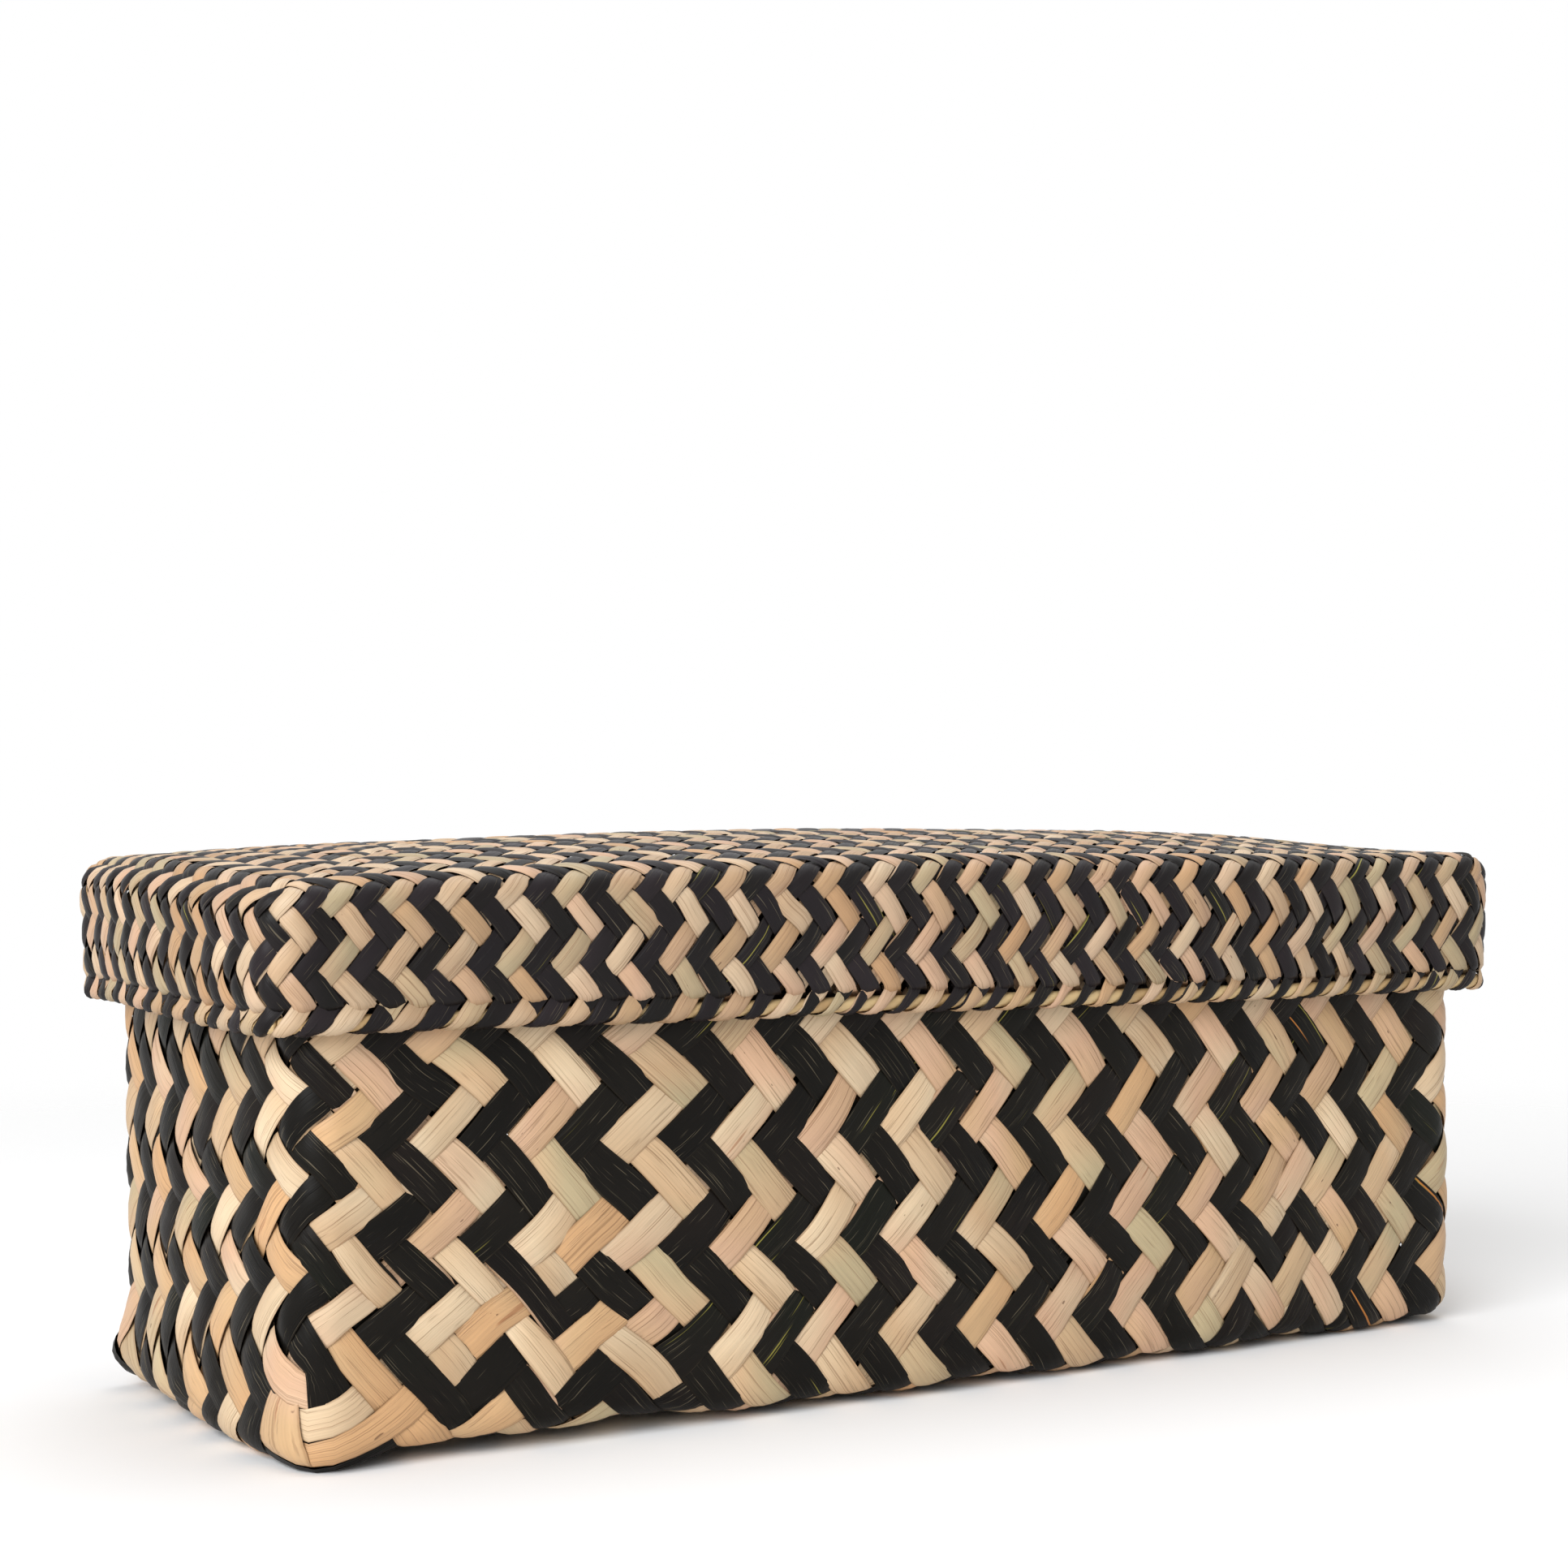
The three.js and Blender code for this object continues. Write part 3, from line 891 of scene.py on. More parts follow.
        if random.uniform() < self.lined_share and len(along) > 2 * self.steps:
            other = Tone.DARK if tone is Tone.NATURAL else Tone.NATURAL
            aside = random.choice((-1, 1)) * random.uniform(*self.lining_aside)
            self.add_leaf(course, other, aside, self.lining_below * self.strip_thickness,
                          self.lining_thickness * self.strip_thickness)

    def add_leaf(self, course: Course, tone: Tone, aside: float, below: float, thickness: float) -> None:
        """Add one leaf along a course to the mesh of its tone.

        Args:
            course: The run that it follows.
            tone: The leaf's tone.
            aside: How far it lies to one side, in squares.
            below: How far it lies under the course, in metres.
            thickness: Its thickness, in metres.
        """
        across_rails, lift_rails = self.section()
        strip = course.strip
        middle = course.middle + aside * ease(course.top)
        across = middle[:, None] + across_rails[None, :] * (course.fullness / 2)[:, None]
        if self.borders_corner(strip.family, strip.number):
            across = np.clip(across, strip.number + self.corner_gap, strip.number + 1 - self.corner_gap)
        x, y, depth, _ = self.net.trace(strip.family, across, course.along[:, None])
        height = course.height[:, None] - across_rails**2 * (course.crown * course.top)[:, None]
        height = height - below * course.top[:, None] + lift_rails[None, :] * thickness / 2
        rings = np.empty((*across.shape, 3))
        for at_start in (True, False):
            chosen = course.starts == at_start
            if chosen.any():
                fold = self.fold_of(strip.slants[at_start])
                rings[chosen] = self.place(x[chosen], y[chosen], depth[chosen], height[chosen], fold)
        rings = rings[course.kept]
        run = (course.along * self.strip_width)[course.kept]
        grain = np.stack([np.broadcast_to(run[:, None], rings.shape[:2]),
                          np.broadcast_to(across_rails[None, :] * self.strip_width / 2, rings.shape[:2]),
                          np.full(rings.shape[:2], self.random.uniform(0, self.grain_shift))], axis=-1)
        flip = self.upside_down != (strip.family is Family.OUTWARD)
        self.strips[tone].add(rings, grain, self.random.uniform(0, 1, 3), flip)

    def relief(self, u: np.ndarray, rows: np.ndarray) -> np.ndarray:
        """Work out how much deeper than on the long walls the strips go over and under.

        Args:
            u: Places along the outline, in half pitches.
            rows: Depth down the wall, in rows.

        Returns:
            A factor for each place.
        """
        m, n = self.net.long_count, self.net.short_count
        turned, blend = np.mod(u, m + n), self.relief_blend
        begins, ends = ((place + blend / 2) / blend for place in (turned - m, m + n - turned))
        short = ease(begins) * ease(ends) + (1 - ease((turned + blend / 2) / blend))
        return 1 + (self.short_relief - 1) * np.clip(short, 0, 1) * (rows > 0)

    def limit_to_fold(self, past: np.ndarray, starts: np.ndarray, slants: dict[bool, Slant]) -> np.ndarray:
        """Find the stations that are on the shell or on the fold round its rim.

        Args:
            past: How far each station lies past the wall's end.
            starts: Whether it belongs to the strip's starting half.
            slants: The strip's slant on the wall at its start and at its end.

        Returns:
            Whether each station is kept.
        """
        kept = np.ones(len(past), bool)
        for at_start in (True, False):
            fold = self.fold_of(slants[at_start])
            longest = self.bare_end if fold is None else float(fold.table()[0][-1])
            kept &= (starts != at_start) | (past <= longest)
        return kept

    def pinch(self, u: np.ndarray, past: np.ndarray, random: np.random.Generator) -> np.ndarray:
        """How much of its width a strip keeps where it folds over the rim. A shell may say otherwise."""
        return np.ones_like(u)

    def borders_corner(self, family: Family, number: int) -> bool:
        """Say whether a strip lies against a line through one of the panel's corners.

        Args:
            family: The strip's family.
            number: The strip's number.

        Returns:
            Whether it does.
        """
        m, n = self.net.long_count, self.net.short_count
        lines = (0, m - n) if family is Family.OUTWARD else (n, m)
        return any(number in (line - 1, line) for line in lines)

    @staticmethod
    def section() -> tuple[np.ndarray, np.ndarray]:
        """Give a strip's section.

        Returns:
            The rails' places across it, from -1 to 1, and their share of half its thickness.
        """
        across = np.array([-1.0, -0.5, 0.0, 0.5, 1.0, 0.6, 0.0, -0.6])
        lift = np.array([0.0, 1.0, 1.0, 1.0, 0.0, -1.0, -1.0, -1.0])
        return across, lift

    def bulge(self, strip: Strip, places: np.ndarray) -> np.ndarray:
        """Work out how much more each float of a strip swells than the plain wave.

        Args:
            strip: The strip.
            places: Places along it, in squares from its first.

        Returns:
            What is added to its height at each place.
        """
        extra, sides = np.zeros_like(places), strip.sides
        for start, stop in strip.floats():
            inside = (places >= start) & (places <= stop)
            share = (places[inside] - start) / (stop - start)
            swell = self.random.uniform(*self.swell)
            extra[inside] += sides[start] * swell * np.sin(math.pi * share)
        return extra


@dataclass(kw_only=True)
class Lid(Shell):
    """The lid: a crowned top whose near corner droops, a skirt that leans in to an uneven rim, and its canes.

    On the outside a strip's end leads off the skirt, wraps round the cane and has a short tail behind it. On
    the inside it goes down behind the cane. From loose_from on, which counts in half pitches from the front
    left corner, the ends are drawn in tighter.
    """

    cane: bpy.types.Material
    body: str = "lid"
    panel_node: str = "lid_top_plait"
    net: Net = Net(long_count=53, short_count=20, rising_over=(3, 0), natural_rising=0, natural_falling=1)
    length: float = 406.0 * MM
    width: float = 147.0 * MM
    panel_height: float = 146.0 * MM
    upside_down: bool = False
    edge_radius: float = 6.0 * MM
    short_edge_radius: float = 10.0 * MM
    corner_radius: float = 10.5 * MM
    first_row: float = 9.2 * MM
    row: float = 9.2 * MM
    rows: int = 7
    wall_end: float = 33.0 * MM
    strip_width: float = 5.84 * MM
    strip_thickness: float = 0.45 * MM
    wave: float = 0.55 * MM
    crown: float = 0.28 * MM
    shift: float = 1.3 * MM
    unevenness: float = 0.055
    seed: int = 5
    cane_radius: float = 2.1 * MM
    cane_outward: float = -1.8 * MM
    cane_down: float = 4.2 * MM
    cane_gap: float = 0.12
    cane_stations: int = 12
    wrap_radius: float = 2.6 * MM
    wrap_step: float = 22.5
    lead_outward: tuple[float, ...] = (0.0, 0.3 * MM, 0.6 * MM)
    lead_down: tuple[float, ...] = (0.0, 1.6 * MM, 3.2 * MM)
    tail_outward: tuple[float, ...] = (0.4 * MM, 0.8 * MM)
    tail_down: tuple[float, ...] = (1.5 * MM, -1.0 * MM)
    behind_gap: float = 0.3 * MM
    behind_shares: tuple[float, ...] = (0.0, 0.3, 0.75, 1.0, 1.0)
    behind_down: tuple[float, ...] = (0.0, 0.6 * MM, 1.8 * MM, 4.0 * MM, 6.2 * MM)
    lean: float = 2.0 * MM
    top_crown: float = 6.5 * MM
    near_droop: float = 4.6 * MM
    rim_rise_back_left: float = 3.0 * MM
    rim_drop_front_right: float = 3.6 * MM
    loose_from: float = 14.0
    loose_over: float = 6.0
    close_widths: Pair = (0.86, 0.98)
    drawn_widths: Pair = (0.45, 0.8)
    pinch_before: float = 1.5 * MM
    pinch_over: float = 4.0 * MM

    def __post_init__(self) -> None:
        """Shape the two ways in which strips fold at the rim."""
        super().__post_init__()
        angles = np.radians(np.arange(0, 181, self.wrap_step))
        around = self.wrap_radius * np.cos(angles) + self.cane_outward
        below = self.wrap_radius * np.sin(angles) + self.cane_down
        tail = (around[-1] + step for step in self.tail_outward)
        self.outer_fold = RimFold(outward=(*self.lead_outward, *around, *tail),
                                  down=(*self.lead_down, *below, *self.tail_down))
        behind = around[-1] - self.behind_gap
        self.inner_fold = RimFold(outward=tuple(behind * share for share in self.behind_shares),
                                  down=self.behind_down)

    def build(self) -> None:
        """Build and dress the lid's plait and its canes."""
        super().build()
        self.canes()

    def canes(self) -> None:
        """Bend a cane along each side of the rim, inside the strips' ends."""
        start = 0
        for seed, side in enumerate(SIDES):
            count = self.net.long_count if side in ("front", "back") else self.net.short_count
            places = np.linspace(start, start + count - self.cane_gap, self.cane_stations * count)
            line = self.rim_line(places, self.cane_outward, self.cane_down)
            cane = Tube(self.cane_radius).build(f"lid_{side}_cane", line, seed)
            dress(cane, self.cane, self.body, [f"lid_{side}_rim_rod"])
            start += count

    def shaped(self, points: np.ndarray) -> np.ndarray:
        """Lean the skirt in, crown the top, let a corner and the rim hang unevenly, and raise the lid.

        Args:
            points: Points of the rounded box, with the panel at 0.

        Returns:
            The points in the row frame.
        """
        x, y, z = np.moveaxis(points, -1, 0)
        half_x, half_y = self.length / 2, self.width / 2
        down = np.clip(-z / self.wall_end, 0, 1.0)
        lean = self.lean * down
        far_x, far_y = np.clip(x / half_x, -1, 1), np.clip(y / half_y, -1, 1)
        crown = self.top_crown * (1 - far_x**4) * (1 - far_y**2)
        left, front = (1 - far_x) / 2, (1 - far_y) / 2
        droop = self.near_droop * left**5 * front**2 * (1 - down)
        rim = self.rim_rise_back_left * left * (1 - front) - self.rim_drop_front_right * (1 - left)**2 * front
        leaned = np.stack([x * (1 - lean / half_x), y * (1 - lean / half_y), z + crown - droop + rim * down],
                          axis=-1)
        return self.bowed(leaned) + np.array([0, 0, self.panel_height])

    def pinch(self, u: np.ndarray, past: np.ndarray, random: np.random.Generator) -> np.ndarray:
        """Let strip ends lie close on the left of the rim, and draw them in tighter over the rest of it.

        Args:
            u: Places along the outline, in half pitches.
            past: How far they lie past the wall's end.
            random: The random numbers.

        Returns:
            The share of its width that the strip keeps at each place.
        """
        turned = np.mod(u + self.net.short_count, self.net.round_count) - self.net.short_count
        loose = ease((turned - self.loose_from) / self.loose_over)
        kept = random.uniform(*self.close_widths) * (1 - loose) + random.uniform(*self.drawn_widths) * loose
        return 1 - (1 - kept) * ease((past + self.pinch_before) / self.pinch_over)


@dataclass(kw_only=True)
class Basket(Shell):
    """The basket's plait, up to the hem and the canes of its rim, which stay as they are.

    It is laid upside down with its base as the panel. Its columns are shifted to the right by column_shifts
    at column_places, which count in half pitches. At the base's near left corner the plait is turned up into
    both walls, by turn_shares at turn_places along them. The base's front edge lifts off the floor on the
    left, and its far left corner is pulled out like an ear. Under the hem the walls are tucked in.
    """

    body: str = "basket"
    panel_node: str = "basket_floor"
    net: Net = BasketNet(long_count=29, short_count=10, rising_over=(3, 0), natural_rising=1,
                         natural_falling=1)
    length: float = 384.0 * MM
    width: float = 129.0 * MM
    panel_height: float = 1.5 * MM
    upside_down: bool = True
    edge_radius: float = 6.0 * MM
    short_edge_radius: float = 8.0 * MM
    corner_radius: float = 9.5 * MM
    first_row: float = 16.9 * MM
    row: float = 14.1 * MM
    rows: int = 10
    wall_end: float = 136.5 * MM
    strip_width: float = 9.35 * MM
    strip_thickness: float = 0.55 * MM
    wave: float = 0.6 * MM
    crown: float = 0.27 * MM
    shift: float = 2.0 * MM
    seed: int = 11
    column_places: tuple[float, ...] = (2.0, 6.0, 8.0, 18.0, 22.0, 26.0, 28.0, 29.0)
    column_shifts: tuple[float, ...] = (0.0, 0.0, 5.3 * MM, 4.5 * MM, 2.2 * MM, -2.7 * MM, -4.6 * MM, 0.0)
    corner_turn: float = 24.3 * MM
    turn_places: tuple[float, ...] = (0.0, 26.0 * MM, 52.0 * MM, 79.0 * MM, 105.0 * MM)
    turn_shares: tuple[float, ...] = (1.0, 0.66, 0.46, 0.2, 0.0)
    turn_depth: float = 106.0 * MM
    turn_fade: float = 1.7
    near_lift: float = 3.4 * MM
    lift_start: float = 0.9
    lift_slope: float = 2.2
    corner_slope: float = 13.0
    lift_height: float = 60.0 * MM
    ear: Triple = (-192.0 * MM, 63.0 * MM, 11.0 * MM)
    ear_pull: Triple = (-4.5 * MM, 2.5 * MM, 0.0)
    ear_size: float = 8.0 * MM
    floor_give: float = 0.4 * MM
    tuck_start: float = 110.0 * MM
    tuck_rise: float = 24.0 * MM
    tuck_along: float = 3.5 * MM
    tuck_across: float = 1.5 * MM

    def flat(self, x: np.ndarray, y: np.ndarray, rows: np.ndarray) -> tuple[np.ndarray, ...]:
        """Lay the net flat, with uneven columns, and with the base's near corner turned up into the walls.

        Args:
            x: Place along the panel, in half pitches.
            y: Place across the panel, in half pitches.
            rows: Depth down the wall, in rows.

        Returns:
            The place along and across from the panel's middle, and the depth down the wall, in metres.
        """
        flat_x, flat_y, depth = super().flat(x, y, rows)
        shift = np.interp(x, self.column_places, self.column_shifts)
        flat_x = flat_x + shift * (1 - y / self.net.short_count)
        away_x, away_y = flat_x + self.length / 2, flat_y + self.width / 2
        inset, along = np.minimum(away_x, away_y), np.maximum(away_x, away_y)
        turn = self.corner_turn * np.interp(along, self.turn_places, self.turn_shares)
        depth = depth + np.maximum(turn - inset, 0.0) * np.clip(1 - depth / self.turn_depth, 0, 1)
        inward = np.minimum(np.maximum(inset, 0.0), turn)
        sideways = inward * (inset / np.maximum(along, MM))**self.turn_fade
        front = away_y <= away_x
        return (flat_x - np.where(front, sideways, inward), flat_y - np.where(front, inward, sideways), depth)

    def shaped(self, points: np.ndarray) -> np.ndarray:
        """Turn the shell the right way up, with its front edge a little off the floor on the left.

        Args:
            points: Points of the rounded box, with the panel at 0.

        Returns:
            The points in the row frame.
        """
        bowed = self.bowed(points)
        x, y, z = np.moveaxis(points, -1, 0)
        left = np.clip(0.5 - x / self.length, 0, 1)
        front = np.clip(0.5 - y / self.width, 0, 1)
        share = ease(left * self.lift_slope - self.lift_start) * ease((1 - left) * self.corner_slope)
        share = share * ease(1 + z / self.lift_height)
        bowed[..., 2] = self.panel_height - z + self.near_lift * share * front
        away = np.linalg.norm(bowed - np.array(self.ear), axis=-1) / self.ear_size
        return bowed + np.exp(-away**2)[..., None] * np.array(self.ear_pull)

    def settled(self, placed: np.ndarray) -> np.ndarray:
        """Press the plait up where it meets the floor, and tuck it in under the hem.

        Args:
            placed: Points of the shell in the row frame.

        Returns:
            The moved points.
        """
        placed[..., 2] = (placed[..., 2] + np.hypot(placed[..., 2], self.floor_give)) / 2
        tucked = ease((placed[..., 2] - self.tuck_start) / self.tuck_rise)
        middle_x = placed[..., 0] - self.shift * tucked
        placed[..., 0] = middle_x * (1 - tucked * self.tuck_along * 2 / self.length)
        placed[..., 1] = placed[..., 1] * (1 - tucked * self.tuck_across * 2 / self.width)
        return placed


Term = Union["Wire", float]


@dataclass
class Wire:
    """An output of a node, on which plain arithmetic adds Math nodes."""

    board: "Board"
    socket: bpy.types.NodeSocket

    def _math(self, operation: str, first: Term, second: Term) -> "Wire":
        """Add one Math node."""
        return self.board.node("ShaderNodeMath", {"operation": operation}, {0: first, 1: second})

    def __add__(self, other: Term) -> "Wire":
        """This plus other."""
        return self._math("ADD", self, other)

    def __radd__(self, other: Term) -> "Wire":
        """Other plus this."""
        return self._math("ADD", other, self)

    def __sub__(self, other: Term) -> "Wire":
        """This minus other."""
        return self._math("SUBTRACT", self, other)

    def __rsub__(self, other: Term) -> "Wire":
        """Other minus this."""
        return self._math("SUBTRACT", other, self)

    def __mul__(self, other: Term) -> "Wire":
        """This times other."""
        return self._math("MULTIPLY", self, other)

    def __rmul__(self, other: Term) -> "Wire":
        """Other times this."""
        return self._math("MULTIPLY", other, self)

    def absolute(self) -> "Wire":
        """This without its sign."""
        return self._math("ABSOLUTE", self, 0.0)

    def length(self) -> "Wire":
        """The length of this vector."""
        return self.board.node("ShaderNodeVectorMath", {"operation": "LENGTH"}, {0: self}, "Value")

    def part(self, number: int) -> "Wire":
        """One of this vector's three numbers."""
        return self.board.node("ShaderNodeSeparateXYZ", {}, {0: self}, number)

    def over(self, low: float, high: float) -> "Wire":
        """Make a mask that eases from 0 to 1.

        Args:
            low: Where this gives 0.
            high: Where this gives 1. It may be the lesser of the two.

        Returns:
            The mask.
        """
        ends = {"From Min": low, "From Max": high, "To Min": 0.0, "To Max": 1.0}
        smooth = {"interpolation_type": "SMOOTHSTEP"}
        return self.board.node("ShaderNodeMapRange", smooth, {"Value": self, **ends})


@dataclass
class Board:
    """A node tree, and the shader whose sockets get its wires."""

    tree: bpy.types.NodeTree
    shader: bpy.types.Node

    @classmethod
    def of(cls, material: bpy.types.Material) -> "Board":
        """The board of a new material."""
        material.use_nodes = True
        return cls(material.node_tree, material.node_tree.nodes["Principled BSDF"])

    def node(self, kind: str, settings: dict, inputs: dict, output: Union[int, str] = 0) -> Wire:
        """Add a node.

        Args:
            kind: The node's type.
            settings: Its properties, or a ramp's stops under "stops".
            inputs: Values and wires for its sockets, by name or number.
            output: The output that is wanted, by name or number.

        Returns:
            That output.
        """
        made = self.tree.nodes.new(kind)
        for name, value in settings.items():
            if name == "stops":
                ramp = made.color_ramp.elements
                while len(ramp) < len(value):
                    ramp.new(0.5)
                for element, (position, colour) in zip(ramp, value):
                    element.position, element.color = position, colour
            else:
                setattr(made, name, value)
        for name, value in inputs.items():
            self.plug(made.inputs[name], value)
        return Wire(self, made.outputs[output])

    def plug(self, socket: bpy.types.NodeSocket, value: object) -> None:
        """Link a wire to a socket, or set the socket's own value.

        Args:
            socket: The socket of a node.
            value: A wire, or a value of the socket's kind.
        """
        if isinstance(value, Wire):
            self.tree.links.new(value.socket, socket)
        else:
            socket.default_value = value

    def finish(self, values: dict[str, object]) -> None:
        """Set or link the shader's sockets by name."""
        for name, value in values.items():
            self.plug(self.shader.inputs[name], value)

    def noise(self, place: Wire, stretch: Triple, detail: float = 2.0) -> Wire:
        """Noise in a place that is stretched first."""
        scaled = self.node("ShaderNodeVectorMath", {"operation": "MULTIPLY"}, {0: place, 1: stretch})
        return self.node("ShaderNodeTexNoise", {}, {"Vector": scaled, "Scale": 1.0, "Detail": detail}, "Fac")

    def blend(self, factor: Term, under: object, upper: object, how: str = "MIX") -> Wire:
        """Mix two colours.

        Args:
            factor: How much of the upper colour is used.
            under: The lower colour or wire.
            upper: The upper colour or wire.
            how: The Mix node's way of blending.

        Returns:
            The mixed colour.
        """
        return self.node("ShaderNodeMix", {"data_type": "RGBA", "blend_type": how},
                         {0: factor, 6: under, 7: upper}, 2)

    def grey(self, value: Wire) -> Wire:
        """A value as a grey colour."""
        return self.node("ShaderNodeCombineColor", {}, {0: value, 1: value, 2: value})

    def bump(self, height: Wire, strength: float, distance: float) -> Wire:
        """The normal of a surface with this relief."""
        return self.node("ShaderNodeBump", {}, {"Strength": strength, "Distance": distance, "Height": height})


@dataclass(frozen=True)
class Streak:
    """Marks along a leaf's fibres.

    A mark comes in between two values of a stretched noise, on a share of the leaves, and stands up from the
    leaf by its relief or lies in it.
    """

    stretch: Triple
    low: float
    high: float
    colour: Colour
    strength: float
    share: float = 1.0
    relief: float = -0.3
    share_edge: float = 0.02

    def mask(self, board: Board, grain: Wire, chance: Wire) -> Wire:
        """Where the marks are."""
        found = board.noise(grain, self.stretch, 1.0).over(self.low, self.high)
        return found * chance.over(self.share, self.share - self.share_edge) * self.strength


@dataclass(frozen=True)
class LeafFinish:
    """The finish of one kind of leaf strip.

    Noises are stretched along, across and through the leaf. Slow ones change the tone over a strip's length,
    broad ones make lengthwise bands, and fibre ones make the fine lines. A fold line runs along one side.
    """

    name: str
    shades: tuple[Colour, ...]
    creases: Colour
    crease_strength: float
    streaks: tuple[Streak, ...]
    # The colour near a strip's edges: the leaf's cut edge, and on natural strips also a painted shade where
    # the strip meets its neighbours.
    edge: Colour
    half_width: float
    roughness: float
    gloss: float
    depth: float
    slow_stretch: Triple = (24.0, 30.0, 1.0)
    broad_stretch: Triple = (16.0, 420.0, 1.0)
    fibre_stretch: Triple = (55.0, 2600.0, 1.0)
    crease_stretch: Triple = (11.0, 640.0, 1.0)
    crease_breaks: Triple = (95.0, 500.0, 1.0)
    plain_light: float = 0.78
    leaf_light: float = 0.16
    broad_light: float = 0.2
    fibre_light: float = 0.34
    slow_light: float = 0.2
    crease_width: Pair = (0.02, 0.004)
    crease_lengths: Pair = (0.48, 0.6)
    fold_from: float = 0.5
    fold_reach: float = 0.36
    fold_width: Pair = (0.22 * MM, 0.06 * MM)
    fold_rise: float = 0.2 * MM
    fold_strength: float = 0.25
    edge_band_from: float = 0.86
    edge_band_raggedness: float = 0.8 * MM
    edge_colour_and_shade_strength: float = 0.6
    fibre_bump: float = 0.4
    broad_bump: float = 0.8
    crease_bump: float = -0.5
    fold_bump: float = 0.5
    bump_strength: float = 0.6
    roughness_spread: float = 0.3

    def guides(self, board: "Board") -> tuple[Wire, Wire]:
        """Read what each strip's mesh says of itself.

        Args:
            board: The material's board.

        Returns:
            The grain vector, along and across the strip, and the leaf vector: its shade, light and chance.
        """
        return (board.node("ShaderNodeAttribute", {"attribute_name": "grain"}, {}, "Vector"),
                board.node("ShaderNodeAttribute", {"attribute_name": "leaf"}, {}, "Vector"))

    def build(self) -> bpy.types.Material:
        """Make the material: a shade for each strip, creases and fibres along it, marks, and an edge tint
        that on natural strips is partly painted shade.

        Returns:
            The material.
        """
        material = bpy.data.materials.new(self.name)
        board = Board.of(material)
        grain, leaf = self.guides(board)
        shade, light, chance = leaf.part(0), leaf.part(1), leaf.part(2)
        across = grain.part(1)
        slow = board.noise(grain, self.slow_stretch, 1.0)
        broad = board.noise(grain, self.broad_stretch)
        fibre = board.noise(grain, self.fibre_stretch, 3.0)
        last = len(self.shades) - 1
        stops = [(k / last, colour) for k, colour in enumerate(self.shades)]
        colour = board.node("ShaderNodeValToRGB", {"stops": stops}, {0: shade + (slow - 0.5)})
        brightness = (self.plain_light + light * self.leaf_light + broad * self.broad_light
                      + (fibre - 0.5) * self.fibre_light + (slow - 0.5) * self.slow_light)
        colour = board.blend(1.0, colour, board.grey(brightness), "MULTIPLY")
        crease = (board.noise(grain, self.crease_stretch, 1.0) - 0.5).absolute().over(*self.crease_width)
        crease = crease * board.noise(grain, self.crease_breaks, 1.0).over(*self.crease_lengths)
        fold_place = (self.fold_from + light * self.fold_reach) * self.half_width
        side = chance.over(0.49, 0.51) * 2.0 - 1.0
        beyond = across * side - fold_place
        fold = beyond.absolute().over(*self.fold_width)
        lines = crease * self.crease_strength + fold * self.fold_strength
        colour = board.blend(lines, colour, self.creases)
        bump = (fibre * self.fibre_bump + broad * self.broad_bump + crease * self.crease_bump
                + beyond.over(0.0, self.fold_rise) * self.fold_bump)
        for streak in self.streaks:
            mask = streak.mask(board, grain, chance)
            colour = board.blend(mask, colour, streak.colour)
            bump = bump + mask * streak.relief
        # Near its edges the leaf takes the edge colour: partly the leaf's own cut edge, and on natural strips
        # partly a painted shade where the crowned strip dips beside its neighbours.
        ragged = across.absolute() + (fibre - 0.5) * self.edge_band_raggedness
        edge_colour_and_shade = ragged.over(self.half_width * self.edge_band_from, self.half_width)
        colour = board.blend(edge_colour_and_shade * self.edge_colour_and_shade_strength, colour, self.edge)
        board.finish({
            "Base Color": colour,
            "Roughness": self.roughness + (fibre - 0.5) * self.roughness_spread,
            "Specular IOR Level": self.gloss,
            "Normal": board.bump(bump, self.bump_strength, self.depth),
        })
        return material


@dataclass(frozen=True)
class HemFinish(LeafFinish):
    """The finish of the leaf folded over the basket's rim, with its fibres along the rim."""

    middle_height: float = 139.0 * MM
    shade_stretch: Triple = (14.0, 40.0, 14.0)
    light_stretch: Triple = (9.0, 90.0, 9.0)
    chance_stretch: Triple = (5.0, 5.0, 5.0)

    def guides(self, board: "Board") -> tuple[Wire, Wire]:
        """Work out the grain from the place on the box, and let the shade drift along the rim.

        Args:
            board: The material's board.

        Returns:
            The grain and the leaf vectors.
        """
        place = board.node("ShaderNodeTexCoord", {}, {}, "Object")
        along, up = place.part(0) + place.part(1), place.part(2) - self.middle_height
        grain = board.node("ShaderNodeCombineXYZ", {}, {"X": along, "Y": up, "Z": place.part(0)}, "Vector")
        stretches = {"X": self.shade_stretch, "Y": self.light_stretch, "Z": self.chance_stretch}
        leaf = {name: board.noise(grain, stretch, 1.0) for name, stretch in stretches.items()}
        return grain, board.node("ShaderNodeCombineXYZ", {}, leaf, "Vector")


